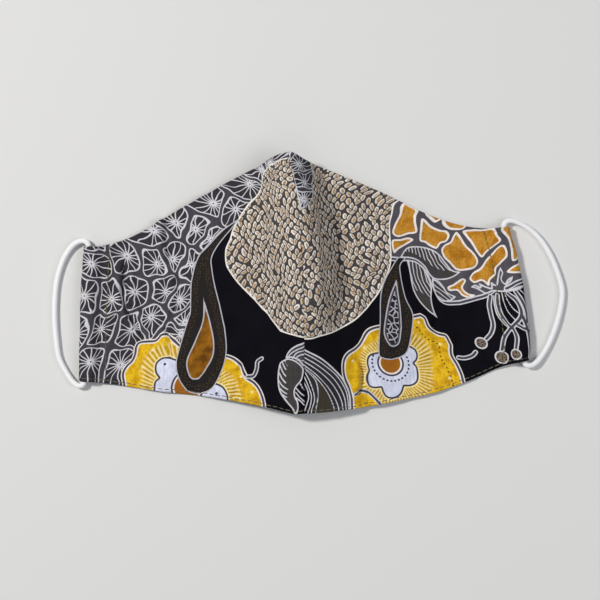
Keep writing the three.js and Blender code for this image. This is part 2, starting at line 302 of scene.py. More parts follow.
def normals(grid, sign):
    along = np.gradient(grid, axis=0)
    up = np.gradient(grid, axis=1)
    normal = sign * np.cross(along, up)
    return normal / np.linalg.norm(normal, axis=-1, keepdims=True)


# Small waves, puckers and creases

# Creases, as pixels of the photograph, with their depth and half width in millimetres
CREASES = (
    ([(128, 258), (125, 272), (124.5, 286), (126, 301), (133, 318), (145, 332), (154, 338)], 4.2, 2.6),
    ([(168, 214), (166, 232), (167, 250), (170, 264)], 2.3, 2.4),
    ([(172, 268), (177, 285), (176, 305), (170, 322)], 1.6, 2.4),
    ([(163, 322), (170, 340), (171, 356)], 1.2, 1.8),
    ([(246, 356), (238, 376), (236, 394)], 0.7, 2.0),
    ([(359, 360), (361, 378), (358, 398)], 1.6, 1.9),
    ([(318, 200), (322, 232), (324, 262), (320, 292)], 0.8, 2.6),
    ([(262, 176), (259, 196), (252, 212)], 0.9, 2.2),
    ([(437, 306), (434, 330), (438, 350)], 0.5, 2.4),
    ([(478, 262), (470, 276), (456, 288)], 0.5, 2.0),
    ([(262, 292), (268, 306), (272, 322)], 0.5, 1.8),
)
# The lips beside a crease, as shares of its half width, with the height of the right one as a share
# of the left one's, and where along its half length the crease starts to fade and for how long
LIP_PLACE = 1.2
LIP_WIDTH = 0.8
FAR_LIP = 0.55
CREASE_FADE_START = 0.55
CREASE_FADE = 0.6

# Waves: height, wavelength and the distance over which they fade in millimetres, how much the two
# directions count, and what is added to the panel's seed
WAVES = {
    "sag": (0.5, 34, math.inf, 1.0, 1.0, 0),
    "fine": (0.22, 13, math.inf, 1.0, 0.6, 1),
    "seam": (0.3, 7, 5, 0.25, 1.0, 2),
    "hem": (0.26, 7.5, 6, 1.0, 0.3, 3),
    "casing": (0.16, 9, math.inf, 0.3, 1.0, 4),
    "stitch": (0.22, 6.5, 4, 0.2, 1.0, 5),
}
WAVES_IN_A_RIPPLE = 7
WAVELENGTH_RANGE = (0.7, 1.5)

# How many columns the cloth takes to come loose from the casing's stitches, and how far from the seam
# and the hemmed edge it is stiff
LOOSE_COLUMNS = 9
STIFF_SEAM = 8
STIFF_HEM = 1.0

# The hem: its stitches, the ridge outside them, the groove under them, and how much they pull
HEM_STITCH_INSET = 2.2
HEM_STITCH_LENGTH = 2.7
STITCH_GAP = 0.7
HEM_RIDGE_HEIGHT = 0.22
HEM_RIDGE_PLACE = 1.1
HEM_RIDGE_WIDTH = 0.7
HEM_GROOVE_DEPTH = 0.3
HEM_GROOVE_WIDTH = 0.55
HEM_PULL = 0.25
HEM_RIM = 0.8
HEM_START = 3


def hump(x, middle, width):
    return np.exp(-(((x - middle) / width) ** 2))


def ripples(x, y, wavelength, seed):
    """A smooth random height between about -1 and 1."""
    draw = np.random.default_rng(seed)
    total = np.zeros(np.broadcast(x, y).shape)
    for _ in range(WAVES_IN_A_RIPPLE):
        angle = draw.uniform(0, math.pi)
        length = wavelength * draw.uniform(*WAVELENGTH_RANGE)
        phase = draw.uniform(0, 2 * math.pi)
        total += np.cos(2 * math.pi * (x * math.cos(angle) + y * math.sin(angle)) / length + phase)
    return total / math.sqrt(WAVES_IN_A_RIPPLE)


def waves(kind, x, y, aside, seed):
    """Heights of one kind of waves over x and y, which fade with the distance aside."""
    height, wavelength, fade, share_x, share_y, number = WAVES[kind]
    return height * np.exp(-aside / fade) * ripples(x * share_x, y * share_y, wavelength, seed + number)


def creases(x, y):
    """Heights of the creases: a valley between two lips, the left one higher."""
    points = np.stack((x, y), axis=-1).reshape(-1, 2)
    total = np.zeros(len(points))
    for pixels, depth, width in CREASES:
        line = curve(in_plan(pixels))
        distance, side = distance_to_line(points, line)
        middle = line[len(line) // 2]
        reach = np.linalg.norm(line[-1] - line[0]) / 2
        beyond = np.linalg.norm(points - middle, axis=1) - CREASE_FADE_START * reach
        lip = hump(distance, LIP_PLACE * width, LIP_WIDTH * width) * np.where(side < 0, 1, FAR_LIP)
        total += depth * (1 - smooth(beyond / (CREASE_FADE * reach))) * (lip - hump(distance, 0, width))
    return total.reshape(x.shape)


def wrinkles(grid, body_count, seed):
    """Heights, along the cloth's normal, of its waves, creases and puckers."""
    x, y, z = np.moveaxis(grid, -1, 0)
    across = lengths(grid, 0)
    along = lengths(grid, 1)
    hem = np.minimum(along, along[:, -1:] - along)
    loose = smooth((body_count - np.arange(len(grid))[:, None]) / LOOSE_COLUMNS)
    from_stitches = np.abs(across - across[body_count - 1])
    body = waves("sag", x, y, 0, seed) + waves("fine", x, y, 0, seed) + creases(x, y)
    body = body * smooth(across / STIFF_SEAM) + waves("hem", x, hem, hem, seed) * smooth(hem / STIFF_HEM)
    side = (1 - loose) * waves("casing", across, along, 0, seed)
    side = (side + waves("stitch", across, along, from_stitches, seed)) * (z > CLOTH)
    return loose * body + waves("seam", across, along, across, seed) + side


def hem_relief(hem, along_hem):
    """The ridge of the turned hem outside its stitches, and the groove that they pull."""
    ridge = HEM_RIDGE_HEIGHT * hump(hem, HEM_RIDGE_PLACE, HEM_RIDGE_WIDTH)
    pull = 1 - HEM_PULL + HEM_PULL * np.cos(2 * math.pi * along_hem / (HEM_STITCH_LENGTH + STITCH_GAP))
    return ridge - HEM_GROOVE_DEPTH * pull * hump(hem, HEM_STITCH_INSET, HEM_GROOVE_WIDTH)


# Meshes

def new_object(name, points, faces, smooth_faces=True):
    mesh = bpy.data.meshes.new(name)
    mesh.from_pydata((np.asarray(points) * MM).tolist(), [], [[int(i) for i in face] for face in faces])
    mesh.update()
    if smooth_faces:
        mesh.polygons.foreach_set("use_smooth", np.ones(len(mesh.polygons), bool))
    piece = bpy.data.objects.new(name, mesh)
    bpy.context.scene.collection.objects.link(piece)
    return piece


def keep_numbers(piece, name, values):
    """Stores a number, or a place, at each point of a mesh."""
    values = np.asarray(values, np.float32)
    kind, field = ("FLOAT_VECTOR", "vector") if values.ndim == 2 else ("FLOAT", "value")
    attribute = piece.data.attributes.new(name, kind, "POINT")
    attribute.data.foreach_set(field, values.ravel())


class Panel:
    """One half of the mask: the grid of its cloth and the cloth's own flat coordinates."""

    def __init__(self, name, seed):
        self.name = name
        self.sign = PANELS[name]
        plain, self.body_count = panel_grid(name)
        self.flat = self.flat_places(plain)
        self.plan = plain[..., :2]
        heights = wrinkles(plain, self.body_count, seed)
        grid = plain + normals(plain, self.sign) * heights[..., None]
        body = grid[: self.body_count, :, 2]
        body[:] = REST_HEIGHT + REST_SOFTNESS * np.logaddexp(0, (body - REST_HEIGHT) / REST_SOFTNESS)
        self.normal = normals(grid, self.sign)
        across = lengths(grid, 0)
        along = lengths(grid, 1)
        hem = np.minimum(along, along[:, -1:] - along)
        rim = np.minimum(hem, np.minimum(across, across[-1:] - across))
        inset = 1 - np.minimum(rim / ROUNDED_EDGE, 1)
        half = CLOTH / 2 * np.sqrt(1 - inset**2)
        relief = hem_relief(hem, across) * smooth(rim / HEM_RIM) * smooth(across / HEM_START)
        self.outer = grid + self.normal * (half + relief)[..., None]
        self.inner = grid - self.normal * half[..., None]
        for side in (self.outer, self.inner):
            side[..., 2] = np.maximum(side[..., 2], FLOOR_CLEARANCE)
        self.rim = np.ones(grid.shape[:2], bool)
        self.rim[1:-1, 1:-1] = False

    def flat_places(self, grid):
        """Where each point of the cloth is when it is spread flat: x and y, with slopes unrolled."""
        across = lengths(grid, 0)
        plan_step = np.linalg.norm(np.diff(grid[..., :2], axis=0), axis=-1)
        slope = np.diff(across, axis=0) - plan_step
        extra = np.concatenate((np.zeros((1, grid.shape[1])), np.cumsum(slope, axis=0)))
        x = grid[..., 0] + self.sign * extra
        stitch = self.body_count - 1
        x[stitch:] = x[stitch] + self.sign * (across - across[stitch])[stitch:]
        up_step = np.linalg.norm(np.diff(grid[..., :2], axis=1), axis=-1)
        climb = np.diff(lengths(grid, 1), axis=1) - up_step
        rise = np.concatenate((np.zeros((len(grid), 1)), np.cumsum(climb, axis=1)), axis=1)
        middle = grid.shape[1] // 2
        y = grid[..., 1] + rise - rise[:, middle : middle + 1]
        return np.stack((x, y), axis=-1)

    def mesh(self):
        """The closed mesh of the cloth, whose front and back share the points of its rim."""
        columns, rows = self.rim.shape
        outer = np.arange(columns * rows).reshape(columns, rows)
        inner = outer.copy()
        inner[~self.rim] = columns * rows + np.arange((~self.rim).sum())
        points = np.concatenate((self.outer.reshape(-1, 3), self.inner[~self.rim]))

        def quads(index, turned):
            corners = [index[:-1, :-1], index[1:, :-1], index[1:, 1:], index[:-1, 1:]]
            if turned:
                corners.reverse()
            return np.stack(corners, axis=-1).reshape(-1, 4)

        front = quads(outer, self.sign < 0)
        back = quads(inner, self.sign > 0)
        piece = new_object(self.name + "_cloth", points, np.concatenate((front, back)))
        material = np.concatenate((np.zeros(len(front)), np.ones(len(back)))).astype(np.int32)
        piece.data.materials.append(None)
        piece.data.materials.append(None)
        piece.data.polygons.foreach_set("material_index", material)
        return piece

    def spread(self, values):
        """The same values for the front of the cloth and for its back."""
        front = values.reshape(-1, *values.shape[2:])
        return np.concatenate((front, values[~self.rim]))


# Places and shapes of the print

# How near, in millimetres, a point of the grid counts for a place on the cloth, and which points count
NEARBY = 1.8
STRIDE = 3

# How far distances are worked out, how far across a set of lines, and the least length of a step
FAR = 14.0
FAR_ACROSS = 3 * FAR
SHORTEST = 1e-6

CURVE_STEPS = 8
RING_STEPS = 6


def in_plan(pixels):
    """Points of the photograph, as x and y on the table."""
    offset = (np.asarray(pixels, float) - PHOTO_ORIGIN) * PHOTO_PIXEL
    return offset * (1, -1)


def on_cloth(panel, pixels):
    """Points of the photograph, as places on the flat cloth."""
    plan = panel.plan[: panel.body_count : STRIDE, ::STRIDE].reshape(-1, 2)
    flat = panel.flat[: panel.body_count : STRIDE, ::STRIDE].reshape(-1, 2)
    points = in_plan(pixels)
    squared = ((plan[None] - points[:, None]) ** 2).sum(axis=2)
    squared -= squared.min(axis=1, keepdims=True)
    weight = np.exp(-squared / (2 * NEARBY**2))
    return points + weight @ (flat - plan) / weight.sum(axis=1, keepdims=True)


def with_ends(points):
    """The points, with one more before the first and one after the last."""
    points = np.asarray(points, float)
    return np.concatenate((2 * points[:1] - points[1:2], points, 2 * points[-1:] - points[-2:-1]))


def curve(points, steps=CURVE_STEPS):
    """A smooth open curve through points."""
    ends = with_ends(points)
    t = np.arange(steps)[:, None] / steps
    pieces = []
    for a, b, c, d in zip(ends, ends[1:], ends[2:], ends[3:]):
        bend = 2 * a - 5 * b + 4 * c - d
        twist = 3 * b - a - 3 * c + d
        pieces.append(0.5 * (2 * b + (c - a) * t + bend * t**2 + twist * t**3))
    return np.concatenate(pieces + [ends[-2:-1]])


def ring(points):
    """A smooth closed curve through points."""
    wrapped = list(points[-2:]) + list(points) + list(points[:2])
    return curve(wrapped, RING_STEPS)[2 * RING_STEPS : (len(points) + 2) * RING_STEPS]


def distance_to_line(points, line, reach=FAR):
    """Distance and side, left or right, of each point from an open line."""
    best = np.full(len(points), reach**2, np.float32)
    side = np.full(len(points), reach, np.float32)
    low, high = line.min(axis=0) - reach, line.max(axis=0) + reach
    near = np.flatnonzero(((points > low) & (points < high)).all(axis=1))
    p = points[near].astype(np.float32)
    near_best = best[near]
    near_side = side[near]
    for a, b in zip(line[:-1].astype(np.float32), line[1:].astype(np.float32)):
        ab = b - a
        length = max(float(np.hypot(*ab)), SHORTEST)
        ap = p - a
        t = np.clip((ap @ ab) / length**2, 0, 1)
        gap = ap - t[:, None] * ab
        squared = (gap**2).sum(axis=1)
        closer = squared < near_best
        near_best = np.where(closer, squared, near_best)
        near_side = np.where(closer, (ab[0] * ap[:, 1] - ab[1] * ap[:, 0]) / length, near_side)
    best[near] = near_best
    side[near] = near_side
    return np.sqrt(best), side


def signed_distance(points, outline):
    """Distance of each point from a closed outline, negative inside."""
    closed = np.concatenate((outline, outline[:1]))
    distance, _ = distance_to_line(points, closed)
    low, high = outline.min(axis=0), outline.max(axis=0)
    near = np.flatnonzero(((points > low) & (points < high)).all(axis=1))
    p = points[near]
    inside = np.zeros(len(near), bool)
    for a, b in zip(closed[:-1], closed[1:]):
        if a[1] == b[1]:
            continue
        crosses = (a[1] > p[:, 1]) != (b[1] > p[:, 1])
        meets = a[0] + (p[:, 1] - a[1]) * (b[0] - a[0]) / (b[1] - a[1])
        inside ^= crosses & (p[:, 0] < meets)
    distance[near[inside]] *= -1
    return distance


def shape_on(panel, sides):
    """An outline of the print, on the flat cloth. Each side starts where the one before it ended."""
    start = []
    joined = []
    for side in sides:
        joined.append(curve(start + side)[:-1])
        start = side[-1:]
    return on_cloth(panel, np.concatenate(joined))


def lines_on(panel, lines):
    return [on_cloth(panel, curve(line)) for line in lines]


def nearest_spot(points, spots):
    return np.min(np.linalg.norm(points[:, None] - spots[None], axis=2), axis=1)


def nearest_line(points, lines):
    """Distance to the nearest of several lines, and the side of it."""
    distance = np.full(len(points), FAR, np.float32)
    side = np.full(len(points), FAR, np.float32)
    for line in lines:
        line_distance, line_side = distance_to_line(points, line)
        closer = line_distance < distance
        distance = np.where(closer, line_distance, distance)
        side = np.where(closer, line_side, side)
    return distance, side


def across_lines(points, lines):
    """Each point's place across an ordered set of lines, counted in lines, and their distance there."""
    found = [distance_to_line(points, line, FAR_ACROSS) for line in lines]
    distance = np.array([pair[0] for pair in found])
    passed = np.sum([pair[1] < 0 for pair in found], axis=0)
    before = np.clip(passed - 1, 0, len(lines) - 2)
    each = np.arange(len(points))
    first, second = distance[before, each], distance[before + 1, each]
    pitch = first + second
    phase = before + first / pitch
    phase = np.where(passed == 0, -first / pitch, phase)
    phase = np.where(passed == len(lines), before + 1 + second / pitch, phase)
    return phase, pitch


# The chart of the print, as pixels of the photograph

# Outlines: each row is one smooth side, which starts where the row above it ends
LEFT_OUTLINES = {
    "wheels": (
        [(60, 235), (100, 246), (118, 232), (160, 212), (210, 190), (262, 158), (283, 150), (292, 150)],
        [(300, 180), (300, 220), (262, 226), (240, 223)],
        [(222, 232), (206, 249), (198, 263), (198, 290)],
        [(196, 320), (190, 345), (184, 354), (171, 338), (165, 337), (160, 341)],
        [(150, 344), (141, 346), (138, 351), (136, 361), (128, 371), (125.5, 378)],
        [(125, 392), (100, 398), (60, 400)],
    ),
    "grain": (
        [(300, 160), (288, 162), (282, 163.7), (272, 168), (264.8, 173.6), (262, 180), (261, 187),
         (257, 196), (251, 203.5)],
        [(244, 213), (238.6, 222), (233.5, 231), (231, 239.6), (227, 249), (226.3, 257)],
        [(227, 264), (229.5, 270), (239.9, 284.3), (256, 300.5), (271, 316.7), (282, 330.3)],
        [(292, 334), (304.5, 336.6), (316, 337)],
        [(316, 250), (312, 200), (300, 160)],
    ),
    "drop": (
        [(241, 220), (235, 227.5), (220, 245), (213, 258), (213.5, 270), (217, 288), (222, 310),
         (225.9, 327)],
        [(228, 347), (226, 360), (221.9, 371), (213.8, 387), (203, 393), (195, 393.5), (187, 391)],
        [(179, 379), (176.3, 364), (180.4, 345.4), (188.4, 320), (191.3, 310), (192.3, 282.7)],
        [(195.5, 267), (200.4, 255), (206.5, 248.3), (222.5, 231.4), (236, 222.5), (241, 220)],
    ),
    "lens": (
        [(205, 297), (203.8, 320), (196, 340), (187, 360), (188.4, 373.6), (192.4, 379), (199, 379)],
        [(207, 369.6), (213.8, 356), (215, 340), (211, 320), (205, 297)],
    ),
    "blossom": (
        [(124, 400), (122.5, 385), (121, 377), (122, 370.5), (126.3, 364), (131, 359.3), (133.3, 353.5),
         (134, 347.5)],
        [(136.8, 342.5), (142, 339.7), (149, 339.2), (155.5, 338.8), (159, 335.8), (162, 332.8), (166, 332)],
        [(171, 333.8), (176, 338), (181.5, 343.5), (195, 352)],
        [(212, 352), (222, 353), (229, 353.6), (235, 355.8), (240, 359.6), (244, 365), (246.7, 371),
         (249, 376)],
        [(255, 379.8), (260, 385), (264, 392), (266.3, 400), (267, 412), (266, 440)],
        [(190, 450), (121, 430)],
    ),
    "flower": (
        [(159.4, 377.6), (155.6, 381), (154.3, 387), (154.5, 400), (160, 415)],
        [(200, 417), (230, 415), (229.5, 400)],
        [(228.6, 394), (226, 388.8), (222, 385), (216.5, 382.4)],
        [(205, 372), (190, 362), (176, 358.6)],
        [(171, 357), (165.5, 356.6), (160.3, 358.7), (156.4, 363), (155.3, 369), (156.6, 374),
         (159.4, 377.6)],
    ),
    "leaf": (
        [(289, 357), (285, 358.5), (280.7, 361.5), (279, 369), (278.5, 377), (279, 385), (281, 392),
         (286, 400), (292, 407)],
        [(296, 413), (298.5, 408), (298.3, 400), (296, 396), (295, 390), (297, 385), (301, 380),
         (303.2, 373)],
        [(303.6, 367), (300, 362), (295, 358.5), (289, 357)],
    ),
    "cap": (
        [(310, 337), (303.5, 341), (296.5, 344), (290.5, 348.5), (287.5, 353), (286, 357.5)],
        [(292, 356.5), (298, 358.5), (303, 364), (310, 368)],
        [(310, 337)],
    ),
}
RIGHT_OUTLINES = {
    "wheels": (
        [(289, 140), (289.5, 164), (292, 176), (296, 193), (300.5, 213)],
        [(306, 208.5), (310, 203), (311, 196), (310, 188), (312, 178), (310.5, 168), (305, 150)],
    ),
    "grain": (
        [(290, 337.5), (305.8, 337.8), (314.5, 337.2), (333, 331.6), (351.8, 321.6), (366.7, 308)],
        [(378, 293), (386.6, 274.4), (389.8, 262), (389.4, 243), (389.4, 224.6), (391.6, 216)],
        [(394, 207), (399, 197), (402, 180)],
        [(330, 130), (285, 150), (287, 250), (290, 320)],
    ),
    "patches": (
        [(390, 186), (383, 205), (381.5, 224), (381, 243), (382, 260)],
        [(396, 262), (410, 262), (424, 270), (433, 291), (438, 300), (446, 305), (460, 305)],
        [(475, 301), (487, 297.5), (497, 291), (510, 290), (524, 283), (560, 276)],
        [(560, 200), (470, 195), (420, 175)],
    ),
    "drop": (
        [(396, 258), (391, 266), (380.5, 288), (378.4, 322), (377.3, 352), (382, 357.6), (390.6, 359.4)],
        [(401.5, 356.4), (408, 348.5), (411.8, 324), (411, 312), (404.7, 298.7), (400.5, 280)],
        [(399, 266), (404, 259), (400, 257), (396, 258)],
    ),
    "lens": (
        [(395.3, 278.7), (387.9, 298.7), (383, 325), (383.7, 336.6), (390, 346), (398.4, 343), (401, 327)],
        [(399.5, 311), (397.4, 295.5), (395.3, 278.7)],
    ),
    "blossom": (
        [(349.6, 430), (349.4, 407), (349.1, 398), (347.8, 391.5), (346, 386.5), (343.6, 381.5),
         (341.4, 376)],
        [(340.2, 370), (340, 363.5), (341, 358), (343.5, 353.2), (347.3, 349.6), (352.5, 346.4),
         (357.2, 342.2)],
        [(360.3, 337), (363, 331.8), (367, 327.6), (372.5, 325.2), (380, 323.5), (395, 318), (412.4, 314)],
        [(418.5, 312.7)],
        [(424.5, 317), (429.4, 326.7), (437.9, 331.5), (446.4, 334.5), (452.4, 344.8)],
        [(453, 354.5), (458.5, 364), (463.3, 375), (465.5, 386), (466, 410)],
        [(400, 440), (349.6, 430)],
    ),
    "flower": (
        [(377, 351), (369.8, 352.6), (366.5, 356.8), (366, 363), (367.6, 369)],
        [(365.8, 374), (365.9, 380.5), (368.2, 385.4), (373.5, 387.6), (380.5, 387)],
        [(382.3, 392.2), (385.6, 396.6), (391, 398.4), (397.6, 396.8), (401.8, 392.2), (403.7, 385.8)],
        [(410, 385.9), (415.7, 383.5), (418.2, 378.5), (418, 371.5), (416.4, 366), (413.6, 363)],
        [(416.8, 359.5), (417.4, 354.5), (415.2, 349.3), (410, 345.6)],
        [(395, 344), (377, 351)],
    ),
    "leaf": (
        [(398, 258.5), (404.7, 249), (414, 246.6), (426.8, 248), (437.4, 253.4), (445.8, 263), (452, 270),
         (461, 271.8)],
        [(454, 276.6), (445.8, 279.7), (435, 279.7), (429, 275.5), (423.7, 267), (416, 261), (408, 258.7),
         (398, 258.5)],
    ),
    "lower_leaf": (
        [(405, 260), (406.8, 266), (409, 275.5), (412, 290), (417.4, 301), (426.8, 311), (438, 319)],
        [(433, 311), (430.5, 298.7), (431, 288), (429, 279.7), (423.7, 269), (415, 262), (405, 260)],
    ),
    "small_leaf": (
        [(431, 279), (438, 281), (443, 286.5), (447, 292.5), (456, 297)],
        [(450, 301), (442, 301.5), (436, 297), (432.5, 289), (431, 279)],
    ),
    "fan": (
        [(298, 344.5), (304.5, 347.5), (312, 351.5), (322, 357.5), (331, 365.3), (339, 373.3),
         (342.4, 377.6), (344.9, 382)],
        [(347.2, 386.6), (349, 391.6), (350.2, 398), (350.5, 407), (351, 425)],
        [(298, 425), (298, 344.5)],
    ),
    "tuft": (
        [(500, 292), (493, 291.5), (486, 294), (481, 291.5), (476, 289), (470, 287)],
        [(475, 284.5), (480, 287), (478.5, 283), (485, 286), (491, 288)],
        [(490.5, 282), (495.5, 284.5), (497, 277), (498, 272), (500.5, 267)],
        [(504, 273), (502, 279), (506, 283), (509, 279), (514, 276)],
        [(512.5, 281), (509, 285), (506, 289), (513, 288.5), (520, 286), (526, 285.5)],
        [(519, 290), (510, 291.5), (500, 292)],
    ),
}

# Lines. Strands, veins and the fan's lines stand in order from one side of their group to the other
LEFT_LINES = {
    "stem": (
        [(248, 376), (254, 375), (257.4, 368), (258.4, 361), (263, 357.5)],
    ),
    "strand": (
        [(288, 358), (291, 353), (297, 348.5), (303, 345.5), (308, 343)],
        [(293, 357), (297, 351.5), (302, 349.5), (308, 348)],
        [(296, 357), (298.5, 354.5), (302, 353), (308, 352.5)],
        [(296, 359), (299, 357.5), (303, 358.5), (308, 360.5)],
        [(297, 382), (300.5, 383), (303, 387.5), (308, 391)],
        [(296.5, 387), (301, 392), (305, 394.5), (309, 396)],
        [(296, 390.5), (300, 396), (304.5, 400), (308, 402)],
        [(296, 396), (301, 399.5), (304.5, 403.5), (308, 408)],
    ),
    "vein": (
        [(286, 359.5), (289, 365), (293, 368)],
        [(283, 361), (286, 367), (290, 371.5)],
        [(280.5, 363.5), (284, 371), (288, 376)],
        [(279.5, 370), (283, 377), (287, 382)],
        [(279.3, 378), (283, 384), (288, 388)],
        [(280, 386), (285, 391), (290, 393)],
        [(282.5, 392.5), (287, 396), (291, 397.5)],
        [(286, 399), (289, 401), (292, 402)],
    ),
}
RIGHT_LINES = {
    "stem": (
        [(490, 296), (489, 305.5), (491, 315.7), (493, 324.6), (491, 333), (486, 339)],
        [(509, 293), (516, 299), (521, 308), (521.6, 315.7), (517, 323), (509, 330), (503.8, 337),
         (501.5, 350)],
        [(514, 328), (517.8, 337), (517, 348)],
        [(497, 295), (497.6, 305.5), (501, 315.7), (507, 323), (513, 328)],
        [(516.5, 291.5), (522, 300), (526, 310), (528, 322)],
        [(523, 316), (528, 330), (530, 345), (530, 357)],
        [(519, 325), (524, 328), (531, 331)],
        [(458, 357.5), (464.5, 358), (471.8, 355.8), (475.5, 352)],
        [(354.5, 393.4), (358.5, 391), (363.5, 390.2), (368.8, 392.3), (373.8, 396.8), (380, 403.5)],
    ),
    "strand": (
        [(521, 290.5), (527, 297), (531.5, 309)],
        [(505, 293.5), (509, 301), (514, 308), (519, 313)],
        [(501.5, 293), (504, 303), (509, 312), (516, 319)],
        [(493.5, 296), (494, 304), (497, 315), (503, 323.5), (511, 330)],
    ),
    "fan": (
        [(300, 345.5), (304.5, 347.5), (312, 351.5), (322, 357.5), (331, 365.3), (339, 373.3), (344.9, 382),
         (349, 391.6), (350.4, 405), (350.7, 418)],
        [(300, 350), (304.5, 352), (314, 357), (324, 364), (334, 372.5), (341, 381.5), (346, 392),
         (348, 405), (348, 418)],
        [(300, 354), (304.5, 356), (314, 361.5), (324, 369), (333, 377.5), (340, 387.5), (344, 397),
         (345.5, 407), (345.5, 418)],
        [(300, 358), (304.5, 360), (314, 366), (323, 373.5), (331, 382), (337, 391), (341, 400),
         (342.5, 408), (342.5, 418)],
        [(300, 361), (305, 364), (312, 369.5), (319, 376.5), (326.5, 385), (332.5, 394), (336.5, 402),
         (338.5, 409), (338.5, 418)],
        [(300, 363), (306, 367.5), (313, 373.5), (320, 381), (326.5, 390), (331, 399), (334, 408),
         (334, 418)],
        [(303, 364), (309, 371), (315, 378), (317.3, 388), (317.3, 397), (315.5, 408), (314, 418)],
        [(301, 364), (305.5, 372), (309.5, 380), (313, 390), (314, 399), (311.5, 408), (310, 418)],
        [(299, 366), (304.5, 376), (308, 384), (311, 393), (310.5, 402), (308, 411), (306, 418)],
        [(298, 370), (304.5, 382), (307.5, 388), (308.5, 396), (306, 405), (303, 414)],
    ),
}
MIDRIB = [
    (396, 257), (404, 254.5), (413, 257), (422, 262), (430, 268), (440, 272.5), (452, 273.5), (462, 272),
]

# The ochre patches: smooth closed outlines
PATCHES = (
    [(402, 203), (409, 206), (417, 211), (415.5, 222), (416, 233), (407, 235), (397, 238), (391.5, 234),
     (393.5, 226), (399, 215)],
    [(391, 241), (399, 240), (407, 238), (412.5, 240.5), (404, 246), (397, 250), (392.5, 254), (390.5, 248)],
    [(421, 220), (425, 220), (431, 226), (440, 230), (447, 231), (449.5, 236), (446, 242), (440, 244),
     (436, 249), (430, 247), (424, 243), (418.5, 241), (419, 231)],
    [(457, 232), (461, 237), (466, 245), (474, 253), (478, 261), (475, 267), (466, 270.5), (456, 270),
     (449, 263), (443, 257), (440.5, 250), (444, 245), (450, 242), (453, 236)],
    [(463, 231), (472, 229.5), (482, 229.5), (493, 228), (498, 235), (501, 241), (493, 247), (487, 252),
     (482, 257.5), (477, 253), (471, 243), (466, 237)],
    [(503, 245), (507, 249), (508, 257), (502, 263), (496, 268), (495, 275), (490, 280), (488.5, 286),
     (482, 281), (474, 283), (469.5, 279), (472, 273), (480, 268), (487, 258), (496, 249)],
    [(462, 278), (466, 281), (463, 288), (468, 293.5), (475, 295), (470, 298.5), (462, 296), (457, 291),
     (449, 291), (447, 287), (453, 284)],
    [(438, 214), (450, 217), (463, 220), (463, 229), (452, 230), (445, 227), (441, 222)],
    [(421, 205), (432, 208), (438, 213), (439, 219), (435, 223), (429, 219), (423, 214)],
    [(499, 229.5), (508, 224), (518, 226), (523, 240), (520, 257), (513, 261), (511, 250), (507, 239)],
    [(508, 272), (514, 266), (526, 262), (527, 272), (515, 273.5)],
)

# The wheels: the hub of each, and the middle of its outline
WHEEL_SPOTS = (
    (91, 264, 97, 264), (127, 256, 126, 259), (158, 264, 155, 263), (174, 259, 175.5, 257),
    (193, 265, 194, 264), (84, 296, 87, 294), (112.5, 299, 109, 296), (135, 292, 136, 291),
    (167, 291.5, 165, 291), (181, 300, 181, 300), (151.5, 317, 153, 318), (101, 329, 100, 331),
    (133, 329, 131, 331), (90, 361.5, 92, 361), (120.5, 365, 118, 364), (76, 335, 74, 335),
    (186, 322, 188, 319), (182, 334, 177, 335), (154, 231, 150, 233), (93, 240, 93, 240),
    (176.5, 223.5, 177, 223), (196.5, 230, 199, 231), (214, 204.5, 213, 204), (237, 211, 235, 212),
    (251, 186, 246, 187), (262, 171, 254, 170), (212, 240, 213, 241), (272, 166, 275, 163),
    (298, 168, 297, 168), (303, 186, 302, 184), (303, 203, 303, 203),
)

# Berries, with their radius
BERRIES = (
    (481, 343, 6), (501.5, 357, 6.6), (516.5, 354, 5.6),
)

# Pale stars on the blossoms, and the dark eyes of their petals
STAR_SPOTS = (
    (153, 350), (143, 367), (173, 343), (242, 376), (253, 391), (364, 347), (351, 360), (417, 322),
    (440, 344), (449, 378),
)
PETAL_EYES = (
    (165.5, 364), (217, 393),
)


# The wheels' cells: how much and how closely their outlines are bent, how round their corners are, and
# the least distance between two middles
WHEEL_BEND = 0.7
WHEEL_BEND_LENGTH = 9
WHEEL_BEND_SEEDS = (51, 52)
WHEEL_NUMBER_SEED = 5
WHEEL_ROUNDING = 0.7
LEAST_APART = 1.0


def wheel_cells(panel, points):
    """The room inside the nearest wheel, and each point's place from its hub with the wheel's number."""
    hubs = on_cloth(panel, [spot[:2] for spot in WHEEL_SPOTS])
    middles = on_cloth(panel, [spot[2:] for spot in WHEEL_SPOTS])
    x, y = points.T
    bend = np.stack([ripples(x, y, WHEEL_BEND_LENGTH, seed) for seed in WHEEL_BEND_SEEDS], axis=-1)
    bent = points + WHEEL_BEND * bend
    squared = ((bent[:, None] - middles[None]) ** 2).sum(axis=2)
    nearest = squared.argmin(axis=1)
    apart = np.linalg.norm(middles[:, None] - middles[None], axis=2)
    gap = (squared - squared.min(axis=1, keepdims=True)) / (2 * np.maximum(apart[nearest], LEAST_APART))
    gap[np.arange(len(points)), nearest] = FAR_ACROSS
    room = -WHEEL_ROUNDING * np.log(np.exp(-gap / WHEEL_ROUNDING).sum(axis=1))
    number = np.random.default_rng(WHEEL_NUMBER_SEED).uniform(size=len(hubs))
    return room, np.column_stack((points - hubs[nearest], number[nearest]))


# Shader building

WHOLE_TURN = 2 * math.pi
SOFT_EDGE = 0.12
NOISE_MIDDLE = (0.5, 0.5, 0.5)


def colour(text):
    """A linear colour from a hexadecimal one, by the standard curve."""
    parts = [int(text[i : i + 2], 16) / 255 for i in (0, 2, 4)]
    linear = [c / 12.92 if c <= 0.04045 else ((c + 0.055) / 1.055) ** 2.4 for c in parts]
    return (*linear, 1.0)


def sign(operation, swapped=False):
    """A method that turns a usual sign, such as a plus, into a node."""
    def method(self, other):
        first, second = (other, self) if swapped else (self, other)
        return self.shader.math(operation, first, second)

    return method


